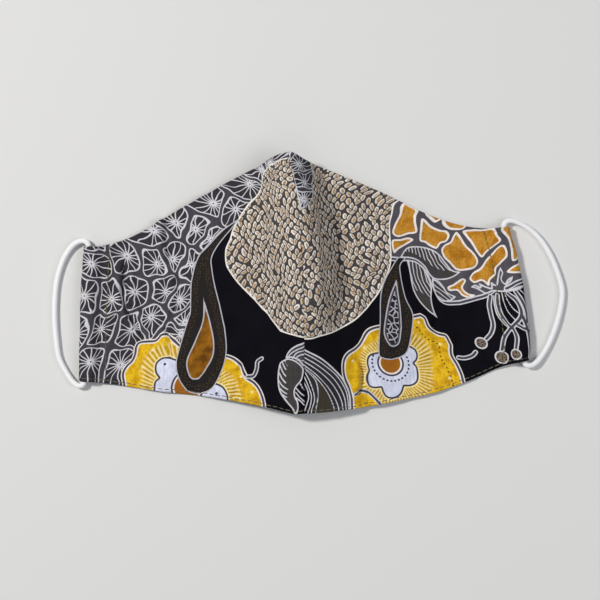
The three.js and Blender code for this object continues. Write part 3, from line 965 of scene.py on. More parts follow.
class Value:
    """An output of a shader's node, which the usual signs turn into more nodes."""

    __add__ = sign("ADD")
    __radd__ = sign("ADD", swapped=True)
    __sub__ = sign("SUBTRACT")
    __rsub__ = sign("SUBTRACT", swapped=True)
    __mul__ = sign("MULTIPLY")
    __truediv__ = sign("DIVIDE")

    def __init__(self, shader, socket):
        self.shader = shader
        self.socket = socket

    def __neg__(self):
        return self * -1.0

    def __abs__(self):
        return self.shader.math("ABSOLUTE", self)


class Shader:
    """A node material with short names for the nodes that the patterns need."""

    def __init__(self, name, **settings):
        self.material = bpy.data.materials.new(name)
        self.material.use_nodes = True
        self.tree = self.material.node_tree
        self.tree.nodes.clear()
        self.surface = self.node("BsdfPrincipled", {}, **settings)
        output = self.tree.nodes.new("ShaderNodeOutputMaterial")
        self.tree.links.new(self.surface.outputs["BSDF"], output.inputs["Surface"])

    def put(self, value, socket):
        if isinstance(value, Value):
            self.tree.links.new(value.socket, socket)
        else:
            socket.default_value = value

    def node(self, kind, settings, **inputs):
        """A new node, with its settings and what goes into its inputs."""
        node = self.tree.nodes.new("ShaderNode" + kind)
        for name, value in settings.items():
            setattr(node, name, value)
        for name, value in inputs.items():
            self.put(value, node.inputs[name.replace("_", " ")])
        return node

    def number(self, name):
        return Value(self, self.node("Attribute", {"attribute_name": name}).outputs["Fac"])

    def place(self, name):
        return Value(self, self.node("Attribute", {"attribute_name": name}).outputs["Vector"])

    def math(self, operation, a, b=0.0, c=0.0):
        node = self.node("Math", {"operation": operation})
        for value, socket in zip((a, b, c), node.inputs):
            self.put(value, socket)
        return Value(self, node.outputs[0])

    def below(self, value, limit, soft=SOFT_EDGE):
        """1 where the value is under the limit, with a narrow soft step to 0."""
        node = self.node("MapRange", {"clamp": True}, Value=value, To_Min=1.0, To_Max=0.0)
        self.put(limit - soft / 2, node.inputs["From Min"])
        self.put(limit + soft / 2, node.inputs["From Max"])
        return Value(self, node.outputs[0])

    def between(self, value, low, high, soft=SOFT_EDGE):
        return self.below(abs(value - (low + high) / 2), (high - low) / 2, soft)

    def length(self, x, y):
        return self.math("SQRT", x * x + y * y)

    def turn(self, x, y):
        """The direction of a place, in whole turns."""
        return self.math("ARCTAN2", y, x) / WHOLE_TURN

    def repeat(self, value):
        """The distance of a value from the middle between two whole numbers."""
        return abs(self.math("FRACT", value) - 0.5)

    def mix(self, factor, a, b):
        node = self.node("Mix", {"data_type": "RGBA"}, Factor=factor)
        self.put(a, node.inputs[6])
        self.put(b, node.inputs[7])
        return Value(self, node.outputs[2])

    def inwards(self, body, distance, rings, soft=SOFT_EDGE):
        """Colours that each start at a distance from an outline and go on inwards."""
        for start, shade in rings:
            body = self.mix(self.below(distance, start, soft), body, shade)
        return body

    def vector(self, operation, a, b=(0.0, 0.0, 0.0)):
        node = self.node("VectorMath", {"operation": operation})
        self.put(a, node.inputs[0])
        self.put(b, node.inputs["Scale" if operation == "SCALE" else 1])
        return Value(self, node.outputs["Value" if operation == "LENGTH" else "Vector"])

    def parts(self, vector):
        return [Value(self, output) for output in self.node("SeparateXYZ", {}, Vector=vector).outputs]

    def away(self, place, centre):
        """A place measured from a centre."""
        return self.vector("SUBTRACT", place, (*centre, 0.0))

    def noise(self, place, size, detail=2.0, output="Fac"):
        settings = {"noise_dimensions": "2D"}
        node = self.node("TexNoise", settings, Vector=place, Scale=1 / size, Detail=detail)
        return Value(self, node.outputs[output])

    def cells(self, place, size, loose, feature="F1"):
        """Irregular cells: the place in cell sizes, and the outputs of the cell pattern."""
        scaled = self.vector("SCALE", place, 1 / size)
        settings = {"voronoi_dimensions": "2D", "feature": feature}
        node = self.node("TexVoronoi", settings, Vector=scaled, Scale=1.0, Randomness=loose)
        return scaled, {name: Value(self, output) for name, output in node.outputs.items()}

    def bent(self, place, size, amount):
        """A place shifted by a soft noise, to bend straight lines."""
        shift = self.vector("SUBTRACT", self.noise(place, size, 1.0, "Color"), NOISE_MIDDLE)
        return self.vector("ADD", place, self.vector("SCALE", shift, amount))

    def turned(self, vector, angle):
        node = self.node("VectorRotate", {"rotation_type": "Z_AXIS"}, Vector=vector, Angle=angle)
        return Value(self, node.outputs[0])

    def bump(self, height, distance, strength):
        node = self.node("Bump", {}, Strength=strength, Distance=distance, Height=height)
        self.tree.links.new(node.outputs["Normal"], self.surface.inputs["Normal"])

    def paint(self, body):
        """Gives the surface its colour, and returns the finished material."""
        self.put(body, self.surface.inputs["Base Color"])
        return self.material


# The print's colours

NAVY = colour("08070e")
NAVY_PALE = colour("0d0b14")
LINE = colour("d6d5da")
BAND_GREY = colour("4b4953")
CHANNEL = colour("545159")
WARM_WHITE = colour("f0e9e4")
WHEEL_GROUND = colour("37343a")
WHEEL_GAP = colour("4d4a52")
WHEEL_GAP_DARK = colour("403d45")
GRAIN_GROUND = colour("4a4544")
CREAM = colour("f4efe7")
CREAM_DARK = colour("cfc7bd")
TAN = colour("956b38")
TAN_PALE = colour("b38e58")
OCHRES = (colour("cb9033"), colour("b1761f"), colour("553510"))
YELLOWS = (colour("edbf22"), colour("cf9c16"), colour("6b4408"))
RAY = colour("f2e0a0")
RAY_SHADOW = colour("8a6112")
DOT = colour("5c3420")
STAR = colour("f6e9b0")
PETAL = colour("eaedfa")
PETAL_SHADE = colour("c6cbe4")
PETAL_LINE = colour("453f52")
CORE = colour("a4651c")
DROP = colour("242220")
DROP_PALE = colour("2c2a2c")
DROP_DOT = colour("5f4425")
DROP_LINE = colour("bdbbc2")
LENS_BROWN = colour("a1691a")
LENS_BROWN_DARK = colour("66400e")
LENS_GROUND = colour("2a282c")
LEAF_GREY = colour("4a484e")
LEAF_BROWN = colour("423d34")
FAN_GROUND = colour("3a383e")
FAN_GROUND_DARK = colour("2b292d")
BERRY_DARK = colour("4a3a30")
BERRY_PALE = colour("857a6a")

# The fillings and ornaments of the print, each a function of the place on the flat cloth

FEWEST_SPOKES = 11.0
MORE_SPOKES = 4.0
SPOKE_WOBBLE = 0.8
SPOKE_AT_HUB = 0.32
SPOKE_TAPER = 0.02
SPOKE_LEAST = 0.22
HUB_RADIUS = 1.0
EYE_RADIUS = 0.38
WHEEL_MARGIN = 0.85
WHEEL_OUTLINE = 0.6


def wheels(s, place):
    """Irregular spoked wheels with a pale outline."""
    x, y, draw = s.parts(s.place("wheel_place"))
    radius = s.length(x, y)
    inside = s.number("wheel_room") - WHEEL_MARGIN
    spokes = s.math("ROUND", FEWEST_SPOKES + draw * MORE_SPOKES)
    wobble = s.noise(place, size=6.0, detail=0.0) * SPOKE_WOBBLE
    aside = s.repeat(s.turn(x, y) * spokes + (wobble + draw)) / spokes * (radius * WHOLE_TURN)
    spoke = s.below(aside, s.math("MAXIMUM", SPOKE_AT_HUB - radius * SPOKE_TAPER, SPOKE_LEAST), soft=0.16)
    hub = s.below(radius, HUB_RADIUS, soft=0.3)
    within = s.below(-inside, 0.0, soft=0.1)
    line = s.between(inside, 0.0, WHEEL_OUTLINE, soft=0.16)
    body = s.mix(within, s.mix(s.noise(place, size=5.0), WHEEL_GAP, WHEEL_GAP_DARK), WHEEL_GROUND)
    body = s.mix(s.math("MAXIMUM", s.math("MAXIMUM", spoke, hub) * within, line), body, LINE)
    return s.mix(s.below(radius, EYE_RADIUS, soft=0.15), body, WHEEL_GROUND)


SEED_CELL = 2.8
SEED_SQUASH = 0.84
SEED_TURN = math.radians(33)
SEED_LOOSE = 0.5
SEED_LENGTH = 1.85
SEED_WIDTH = 1.0
SEED_DOME = 1.35
SEED_GAP = 0.2
SEED_ROUNDING = 0.32
LEAST_LEAN = 0.62
MORE_LEAN = 1.9
MIDDLE_SHIFT = (0.16, 0.18)
MIDDLE_SIZE = (1.2, 0.52)


def grain(s, place):
    """Small pale ovals, each with a tan middle, close together but kept apart."""
    bent = s.bent(place, size=15.0, amount=5.0)
    turned = s.turned(s.vector("MULTIPLY", bent, (1.0, SEED_SQUASH, 1.0)), SEED_TURN)
    scaled, cell = s.cells(turned, SEED_CELL, SEED_LOOSE)
    _, gap = s.cells(turned, SEED_CELL, SEED_LOOSE, "DISTANCE_TO_EDGE")
    local = s.vector("SCALE", s.vector("SUBTRACT", scaled, cell["Position"]), SEED_CELL)
    x, y, _ = s.parts(s.vector("MULTIPLY", s.turned(local, -SEED_TURN), (1.0, 1 / SEED_SQUASH, 1.0)))
    red, green, blue = s.parts(cell["Color"])
    angle = LEAST_LEAN + red * MORE_LEAN
    cosine = s.math("COSINE", angle)
    sine = s.math("SINE", angle)

    def oval(shift, size):
        along = x * cosine + y * sine + shift[0]
        aside = y * cosine - x * sine + shift[1]
        return s.length(along / size[0], aside / size[1])

    dome = (1.0 - oval((0.0, 0.0), (SEED_LENGTH, SEED_WIDTH))) * SEED_DOME
    inside = s.math("SMOOTH_MIN", dome, gap["Distance"] * SEED_CELL - SEED_GAP, SEED_ROUNDING)
    middle = s.below(oval(MIDDLE_SHIFT, MIDDLE_SIZE), 1.0, soft=0.5) * (0.7 + blue * 0.3)
    body = s.mix(middle, s.mix(blue, CREAM, CREAM_DARK), s.mix(green, TAN, TAN_PALE))
    return s.mix(s.below(-inside, 0.0, soft=0.16), GRAIN_GROUND, body)


FLECK_SOFTNESS = 0.05


def mottled(s, place, shades, blotch, fleck):
    """Two shades in soft blotches, with dark flecks. Each has a size, a share and then the blotches'
    softness or the flecks' strength."""
    size, share, softness = blotch
    body = s.mix(s.below(s.noise(place, size, 4.0), share, softness), shades[0], shades[1])
    size, share, strength = fleck
    return s.mix(s.below(s.noise(place, size), share, FLECK_SOFTNESS) * strength, body, shades[2])


PATCH_OUTLINE = 0.95


def patches(s, place):
    """Ochre patches with pale outlines and grey channels between them."""
    inside = -s.number("patch")
    ochre = mottled(s, place, OCHRES, blotch=(6.0, 0.47, 0.22), fleck=(0.9, 0.35, 0.5))
    body = s.mix(s.between(inside, 0.0, PATCH_OUTLINE, soft=0.16), ochre, WARM_WHITE)
    return s.mix(s.below(inside, 0.0, soft=0.16), body, CHANNEL)


BAND = (-2.35, 0.0)
BAND_MIDDLE = (-1.65, -0.55)


def banded(s, distance, ground, inner, line=LINE):
    """A pale, a grey and a pale band inside an outline, then the inner colour."""
    body = s.mix(s.below(distance, 0.0), ground, inner)
    body = s.mix(s.between(distance, *BAND), body, line)
    return s.mix(s.between(distance, *BAND_MIDDLE), body, BAND_GREY)


def outlined(s, distance, ground, inner, line=LINE, width=0.55):
    """The inner colour inside an outline, with a line along it."""
    body = s.mix(s.below(distance, 0.0), ground, inner)
    return s.mix(s.between(distance, -width, 0.0), body, line)


# The blossoms: how many rays, dots and marks round the core there are in a whole turn (0 for none), how
# far the rays reach, and whether they get shorter to the left
BLOSSOM_COLUMNS = ("rays", "reach", "dots", "marks", "lean")
BLOSSOMS = {"left": (82.0, 6.2, 0.0, 0.0, 0.0), "right": (68.0, 6.6, 84.0, 29.0, 1.0)}
RAY_SHARE = 0.24
RAY_VARIES = 1.6
RAY_SHORTENS = 0.25
RAY_SHORTEST = -3.4
RAY_STRENGTH = 0.85
RAY_SHADOW_STRENGTH = 0.35
DOT_SHARE = 0.2
DOT_PLACE = (-6.9, -6.2)
DOTS_FROM = -3.0
STAR_RADIUS = 0.75
MARK_SHARE = 0.27
MARK_PLACE = (2.0, 2.9)
PETAL_RIM = 0.75
PETAL_EYE_RADIUS = 0.75
PETAL_OUTLINE = -0.92
CORE_INNER = -1.8


def rays(s, place, body, centre, row):
    """Pale rays round a flower with darker yellow between them, and an arc of dots near the edge."""
    flower = s.number("flower")
    local = s.away(place, centre)
    x, y, _ = s.parts(local)
    turn = s.turn(x, y)
    shorter = s.math("MAXIMUM", s.math("MINIMUM", x * RAY_SHORTENS, 0.0), RAY_SHORTEST)
    end = row["reach"] + s.noise(local, size=3.0) * RAY_VARIES + shorter * row["lean"]
    ray = s.below(s.repeat(turn * row["rays"]), RAY_SHARE) * s.below(flower, end, soft=2.2)
    body = s.mix(ray * RAY_STRENGTH, body, RAY)
    shadow = s.below(flower, end - 1.0, soft=1.5) * (1.0 - ray)
    body = s.mix(shadow * RAY_SHADOW_STRENGTH, body, RAY_SHADOW)
    dots = s.below(s.repeat(turn * row["dots"]), DOT_SHARE, soft=0.08)
    dots = dots * s.between(s.number("blossom"), *DOT_PLACE)
    return s.mix(dots * s.below(-x, DOTS_FROM, soft=0.2), body, DOT)


def petals(s, place, core_centre, row):
    """A pale flower's inside: shaded petals, a ring of marks, and a round core."""
    core = s.number("core")
    x, y, _ = s.parts(s.away(place, core_centre))
    marks = s.below(s.repeat(s.turn(x, y) * row["marks"]), MARK_SHARE, soft=0.08)
    body = s.mix(s.noise(place, size=5.0, detail=3.0), PETAL, PETAL_SHADE)
    body = s.mix(marks * s.between(core, *MARK_PLACE), body, PETAL_LINE)
    body = s.mix(s.below(s.number("eyes"), PETAL_EYE_RADIUS, soft=0.2), body, PETAL_LINE)
    return s.inwards(body, core, ((0.0, PETAL_LINE), (PETAL_OUTLINE, WARM_WHITE), (CORE_INNER, CORE)))


def blossom(s, ground, place, centre, core_centre, name):
    """A yellow blossom with rays, a pale flower in its middle, and a round core."""
    row = dict(zip(BLOSSOM_COLUMNS, BLOSSOMS[name]))
    yellow = mottled(s, place, YELLOWS, blotch=(4.5, 0.46, 0.25), fleck=(0.8, 0.34, 0.45))
    yellow = rays(s, place, yellow, centre, row)
    yellow = s.mix(s.below(s.number("spots"), STAR_RADIUS, soft=0.7), yellow, STAR)
    body = banded(s, s.number("blossom"), ground, yellow, WARM_WHITE)
    flower = s.number("flower")
    body = s.mix(s.below(flower, PETAL_RIM, soft=0.2), body, RAY)
    inside = petals(s, place, core_centre, row)
    body = s.inwards(body, flower, ((0.0, PETAL_LINE), (PETAL_OUTLINE, inside)))
    return s.mix(s.below(s.number("blossom"), 0.0, soft=0.1), ground, body)


DROP_DOT_CELL = 1.45
DROP_DOT_RADIUS = 0.24
DROP_DOT_PLACE = (-4.4, -1.6)


def drop(s, ground, place, inside_lens):
    """A long dark drop with rows of small dots, holding a narrower one."""
    distance = s.number("drop")
    scaled, cell = s.cells(place, DROP_DOT_CELL, loose=0.55)
    from_dot = s.vector("LENGTH", s.vector("SUBTRACT", scaled, cell["Position"]))
    dots = s.below(from_dot, DROP_DOT_RADIUS, soft=0.1) * s.between(distance, *DROP_DOT_PLACE, soft=0.3)
    body = s.mix(dots * 0.7, DROP, DROP_DOT)
    body = s.mix(s.noise(place, size=6.0), body, s.mix(0.35, body, DROP_PALE))
    body = outlined(s, distance, ground, body, DROP_LINE)
    return outlined(s, s.number("lens"), body, inside_lens, DROP_LINE, width=0.65)


def left_lens(s, place):
    """Brown, in soft blotches."""
    return s.mix(s.below(s.noise(place, size=7.0, detail=4.0), 0.5, soft=0.3), LENS_BROWN, LENS_BROWN_DARK)


NET_CELL = 2.8
NET_LOOSE = 0.9
NET_WALL = 0.26
NET_BORDER = (-1.5, -0.65)


def right_lens(s, place):
    """A net of pale lines inside a grey border."""
    _, gap = s.cells(s.bent(place, size=4.0, amount=1.2), NET_CELL, NET_LOOSE, "DISTANCE_TO_EDGE")
    body = s.mix(s.below(gap["Distance"] * NET_CELL, NET_WALL, soft=0.14), LENS_GROUND, DROP_LINE)
    return s.mix(s.between(s.number("lens"), *NET_BORDER), body, LEAF_GREY)


COMB_WOBBLE = 0.8


def comb(s, place, middle, lean, pitch, bow=0.0, width=0.24):
    """Thin parallel lines, leaning by an angle in degrees and slightly bowed."""
    x, y, _ = s.parts(s.away(place, middle))
    cosine = math.cos(math.radians(lean))
    sine = math.sin(math.radians(lean))
    along = y * cosine - x * sine
    across = x * cosine + y * sine + along * along * bow
    loose = across + s.noise(place, size=4.0, detail=0.0) * COMB_WOBBLE
    return s.below(s.repeat(loose / pitch) * pitch, width)


def between_marks(s, name, width):
    """Thin lines at the whole numbers of a stored place across a set of lines."""
    share = s.repeat(s.number(name + "_phase") + 0.5)
    return s.below(share * s.number(name + "_pitch"), width, soft=0.14)


STEM_WIDTH = 1.15
STEM_INNER_WIDTH = 0.6
STRAND_REACH = 0.6


def stems(s, ground):
    """Stems with a pale line down each side."""
    return s.inwards(ground, s.number("stem"), ((STEM_WIDTH, LINE), (STEM_INNER_WIDTH, BAND_GREY)))


def strands(s, ground):
    """Thin pale lines."""
    near = s.below(s.number("strand"), STRAND_REACH, soft=0.1)
    return s.mix(near * between_marks(s, "strand", width=0.29), ground, LINE)


def leaf(s, ground, place, name, veins):
    """A grey leaf with pale veins."""
    body = s.mix(s.noise(place, size=7.0), LEAF_GREY, LEAF_BROWN)
    return outlined(s, s.number(name), ground, s.mix(veins, body, LINE), width=0.7)


# The fan's brown stroke lies between two of its lines, and it is navy beyond another
BROWN_STROKE = (5.0, 6.0)
NAVY_FROM = 7.0


def fan(s, ground, place):
    """A fan of curved strokes beside the seam at the chin."""
    phase = s.number("fan_phase")
    body = s.mix(s.noise(place, size=9.0), FAN_GROUND, FAN_GROUND_DARK)
    body = s.mix(s.between(phase, *BROWN_STROKE, soft=0.1), body, LEAF_BROWN)
    body = s.mix(s.below(-phase, -NAVY_FROM, soft=0.1), body, NAVY)
    body = s.mix(between_marks(s, "fan", width=0.26), body, LINE)
    return outlined(s, s.number("fan"), ground, body, width=0.85)


# Materials

THREAD_PITCH = 0.52
SLUB_STRETCH = (1.0, 0.25, 1.0)
WEAVE_SHADE = 0.74
# A shift on the right panel, so that its fillings don't repeat those of the left one
OTHER_PLACE = (31.0, 17.0, 0.0)
# How far from the midrib, or from the middle of the leaf at the chin, veins are drawn
LOWER_LEAF_VEINS_TO = 9.0
UPPER_LEAF_VEINS_FROM = 1.4
CHIN_VEINS_TO = 0.8
CHIN_VEINS_WOBBLE = 3.0


def woven(s, place, body):
    """The cloth's threads, in its colour and its height. The colour has the slubs' uneven tone, and painted
    shade in the dips of the weave with painted highlight on its crests.
    """
    x, y, _ = s.parts(place)
    warp = s.math("SINE", x * (WHOLE_TURN / THREAD_PITCH))
    weft = s.math("SINE", y * (WHOLE_TURN / THREAD_PITCH))
    weave = warp * weft
    slub = s.noise(s.vector("MULTIPLY", place, SLUB_STRETCH), size=1.1, detail=3.0)
    s.bump(weave * 0.5 + slub * 0.8, distance=0.00012, strength=0.55)
    # The weave term darkens the colour where the weave is low and lightens it where it is high: painted
    # shade and painted highlight. The slub term is the yarn's own uneven tone.
    return s.paint(s.vector("SCALE", body, WEAVE_SHADE + (slub * 0.44 + weave * 0.08)))


def left_print(s, place, body, marks):
    """The print of the left panel, from the lowest layer to the highest."""
    body = outlined(s, s.number("wheels"), body, wheels(s, place), width=0.45)
    body = outlined(s, s.number("grain"), body, grain(s, place), CREAM, width=0.7)
    body = blossom(s, body, place, marks["blossom"], marks["core"], "left")
    body = drop(s, body, place, left_lens(s, place))
    body = outlined(s, s.number("cap"), body, BAND_GREY, width=0.8)
    body = stems(s, strands(s, body))
    x, _, _ = s.parts(s.away(place, marks["leaf"]))
    beside = x + s.noise(place, size=2.5, detail=0.0) * CHIN_VEINS_WOBBLE
    veins = between_marks(s, "vein", width=0.3) * s.below(beside, CHIN_VEINS_TO, soft=0.4)
    return leaf(s, body, place, "leaf", veins)


def right_print(s, place, body, marks):
    """The print of the right panel, from the lowest layer to the highest."""
    other = s.vector("ADD", place, OTHER_PLACE)
    body = banded(s, s.number("patches"), body, patches(s, place))
    body = outlined(s, s.number("grain"), body, grain(s, other), CREAM, width=0.7)
    body = outlined(s, s.number("wheels"), body, wheels(s, other), width=0.5)
    body = blossom(s, body, place, marks["blossom"], marks["core"], "right")
    body = drop(s, body, place, right_lens(s, place))
    body = fan(s, stems(s, strands(s, body)), place)
    veins = comb(s, place, marks["lower_leaf"], lean=50.0, pitch=1.9, width=0.22)
    body = leaf(s, body, place, "small_leaf", veins)
    midrib = s.number("midrib")
    veins = comb(s, place, marks["lower_leaf"], lean=20.0, pitch=1.9, bow=-0.012)
    veins = veins * s.below(midrib, LOWER_LEAF_VEINS_TO, soft=0.5)
    body = leaf(s, body, place, "lower_leaf", veins)
    veins = comb(s, place, marks["leaf"], lean=28.0, pitch=1.85, bow=-0.02)
    veins = veins * s.below(-midrib, -UPPER_LEAF_VEINS_FROM, soft=0.3)
    body = leaf(s, body, place, "leaf", veins)
    body = outlined(s, s.number("tuft"), body, CHANNEL, width=0.8)
    speckle = s.mix(s.below(s.noise(place, size=0.9, detail=1.0), 0.5, soft=0.2), BERRY_DARK, BERRY_PALE)
    return outlined(s, s.number("berry"), body, speckle, width=0.7)


def printed_cotton(name, marks):
    s = Shader(name + "_printed_cotton", Roughness=0.75, Specular_IOR_Level=0.08)
    place = s.place("print_place")
    ground = s.mix(s.below(s.noise(place, size=12.0, detail=3.0), 0.5, soft=0.4), NAVY, NAVY_PALE)
    layers = left_print if name == "left" else right_print
    return woven(s, place, layers(s, place, ground, marks))


def plain_cotton():
    """The back of the cloth, where nothing of the print shows."""
    s = Shader("plain_cotton", Roughness=0.8, Specular_IOR_Level=0.2, Sheen_Weight=0.15)
    place = s.place("print_place")
    return woven(s, place, s.mix(s.noise(place, size=14.0, detail=3.0), colour("16141d"), colour("24222c")))


BRAID_PITCH = 1.5
BRAID_STRANDS = 6.0
TWIST_PITCH = 0.5
TWIST_STRANDS = 2.0


def braided_elastic():
    """Round white elastic with the slanting threads of its braid, as bumps and as painted shade in the
    grooves between them.
    """
    s = Shader("braided_elastic", Roughness=0.6, Specular_IOR_Level=0.3, Sheen_Weight=0.3)
    round_cord, along, _ = s.parts(s.place("cord_place"))
    lean = along * (WHOLE_TURN / BRAID_PITCH)
    strands = round_cord * BRAID_STRANDS
    braid = s.math("SINE", lean + strands) * s.math("SINE", lean - strands)
    s.bump(braid, distance=0.0001, strength=0.5)
    # Darker where the braid is low: painted shade in the grooves between its threads.
    return s.paint(s.mix((braid + 1.0) * 0.5, colour("e6e7ea"), colour("fdfdfd")))


def sewing_thread(name, pale, dark):
    """Twisted thread, pale on its strands and dark between them: the dark is painted shade in the grooves of
    the twist.
    """
    s = Shader(name, Roughness=0.55, Specular_IOR_Level=0.3, Sheen_Weight=0.2)
    x, y, _ = s.parts(s.place("thread_place"))
    twist = s.math("SINE", x * (WHOLE_TURN / TWIST_PITCH) + y * TWIST_STRANDS)
    s.bump(twist, distance=0.00004, strength=0.6)
    # The dark colour fills the low parts of the twist: painted shade in its grooves.
    return s.paint(s.mix((twist + 1.0) * 0.5, colour(dark), colour(pale)))


def pale_floor():
    s = Shader("pale_floor", Roughness=0.9, Specular_IOR_Level=0.1)
    return s.paint(colour("dcdcda"))


# Ear loops

CORD_SIDES = 20
CORD_STEPS_PER_MM = 1.5
CORD_STEP = 0.45
CORD_SOFTENING = 24
SHORTEST_SPAN = 1e-3


def rounded_path(points):
    """Evenly close points on a smooth curve, with the corners of the route rounded."""
    ends = with_ends(points)
    result = []
    for a, b, c, d in zip(ends, ends[1:], ends[2:], ends[3:]):
        spans = ((a, b), (b, c), (c, d))
        steps = [max(np.linalg.norm(q - p), SHORTEST_SPAN) ** 0.5 for p, q in spans]
        m1 = steps[1] * ((b - a) / steps[0] - (c - a) / (steps[0] + steps[1]) + (c - b) / steps[1])
        m2 = steps[1] * ((c - b) / steps[1] - (d - b) / (steps[1] + steps[2]) + (d - c) / steps[2])
        count = max(2, int(CORD_STEPS_PER_MM * np.linalg.norm(c - b)))
        for t in np.arange(count) / count:
            h1 = 2 * t**3 - 3 * t**2 + 1
            h2 = t**3 - 2 * t**2 + t
            h3 = -2 * t**3 + 3 * t**2
            h4 = t**3 - t**2
            result.append(h1 * b + h2 * m1 + h3 * c + h4 * m2)
    result.append(ends[-2])
    return np.array(result)


def along_path(path):
    """How far each point is along a path."""
    return np.concatenate(([0], np.cumsum(np.linalg.norm(np.diff(path, axis=0), axis=1))))


def at_places(places, along, points):
    """The points at some places along a path."""
    return np.stack([np.interp(places, along, points[:, k]) for k in range(3)], axis=-1)


def loop_path(route):
    x, y, lift = np.array(route).T
    z = CORD_ON_TABLE + (CORD_IN_CASING - CORD_ON_TABLE) * lift
    path = rounded_path(np.stack((x, y, z), axis=-1))
    along = along_path(path)
    path = at_places(np.linspace(0, along[-1], int(along[-1] / CORD_STEP) + 1), along, path)
    for _ in range(CORD_SOFTENING):
        path[1:-1] = (path[:-2] + 2 * path[1:-1] + path[2:]) / 4
    return path


def cord_tube(name, path):
    """A closed round tube along a path, with a place at each point for the threads of its braid."""
    tangent = np.gradient(path, axis=0)
    tangent /= np.linalg.norm(tangent, axis=1, keepdims=True)
    side = np.cross(tangent, (0.0, 0.0, 1.0))
    side /= np.linalg.norm(side, axis=1, keepdims=True)
    over = np.cross(side, tangent)
    angle = np.linspace(0, 2 * math.pi, CORD_SIDES, endpoint=False)
    around = side[:, None] * np.cos(angle)[:, None] + over[:, None] * np.sin(angle)[:, None]
    points = path[:, None] + around * (CORD_DIAMETER / 2)
    index = np.arange(len(path) * CORD_SIDES).reshape(len(path), CORD_SIDES)
    turned = np.roll(index, -1, axis=1)
    quads = np.stack((index[:-1], turned[:-1], turned[1:], index[1:]), axis=-1).reshape(-1, 4)
    caps = [index[0][::-1].tolist(), index[-1].tolist()]
    piece = new_object(name, points.reshape(-1, 3), quads.tolist() + caps)
    round_cord = np.tile(np.minimum(angle, 2 * math.pi - angle), len(path))
    along = np.repeat(along_path(path), CORD_SIDES)
    keep_numbers(piece, "cord_place", np.stack((round_cord, along, np.zeros(len(along))), axis=-1))
    return piece


def ear_loop(name, route, material):
    path = loop_path(route)
    piece = cord_tube(name + "_elastic", path)
    piece.data.materials.append(material)
    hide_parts(name)
    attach(piece, "root")


# The camera, the light and the floor

LENS = 120.0
CLIP_END = 10
FLOOR_SIZE = 4000.0

# Lights: place and size in metres, power and tint
LIGHTS = {
    "key": ((-0.98, 0.48, 1.27), 0.26, 21.0, (1.0, 0.98, 0.95)),
    "fill": ((0.75, -0.1, 0.8), 0.7, 3.2, (0.96, 0.97, 1.0)),
    "back": ((0.1, -0.9, 0.6), 0.8, 0.6, (1.0, 1.0, 1.0)),
}
ROOM_TINT = (0.9, 0.93, 1.0, 1.0)
ROOM_STRENGTH = 0.24


def camera():
    """A camera straight above, at a distance where a pixel on the table is as big as in the photograph."""
    data = bpy.data.cameras.new("camera")
    data.lens = LENS
    data.dof.use_dof = False
    piece = bpy.data.objects.new("camera", data)
    distance = PHOTO_SIDE * PHOTO_PIXEL * LENS / data.sensor_width
    middle = in_plan((PHOTO_SIDE / 2, PHOTO_SIDE / 2))
    piece.location = (middle[0] * MM, middle[1] * MM, distance * MM)
    data.clip_end = CLIP_END
    bpy.context.scene.collection.objects.link(piece)
    bpy.context.scene.camera = piece


def area_light(name, place, size, power, tint):
    data = bpy.data.lights.new(name, "AREA")
    data.shape = "DISK"
    data.size = size
    data.energy = power
    data.color = tint
    piece = bpy.data.objects.new(name, data)
    piece.location = place
    x, y, z = -np.array(place)
    piece.rotation_euler = (math.atan2(math.hypot(x, y), -z), 0, math.atan2(y, x) - math.pi / 2)
    bpy.context.scene.collection.objects.link(piece)


def lights():
    for name, row in LIGHTS.items():
        area_light(name, *row)
    world = bpy.data.worlds.new("room")
    world.use_nodes = True
    background = world.node_tree.nodes["Background"]
    background.inputs["Color"].default_value = ROOM_TINT
    background.inputs["Strength"].default_value = ROOM_STRENGTH
    bpy.context.scene.world = world


def floor():
    half = FLOOR_SIZE / 2
    corners = [(-half, -half, 0), (half, -half, 0), (half, half, 0), (-half, half, 0)]
    piece = new_object("floor", corners, [(0, 1, 2, 3)], False)
    piece.data.materials.append(pale_floor())


# Stitches

THREAD = 0.48
CAPSULE_SIDES = 6
# Each ring of a stitch: its place from end to end (-1 to 1), and its share of the thread's radius
CAPSULE_RINGS = ((-1.0, 0.35), (-0.9, 0.8), (-0.5, 1.0), (0.5, 1.0), (0.9, 0.8), (1.0, 0.35))
END_SINK = 0.6
END_POWER = 4

HEM_STITCH_LIFT = 0.06
HEM_ROWS_WITHOUT_STITCHES = 3
CASING_STITCH_LENGTH = 2.4
CASING_STITCH_GAP = 0.6
CASING_STITCH_LIFT = 0.14
CASING_STITCH_INSET = 4


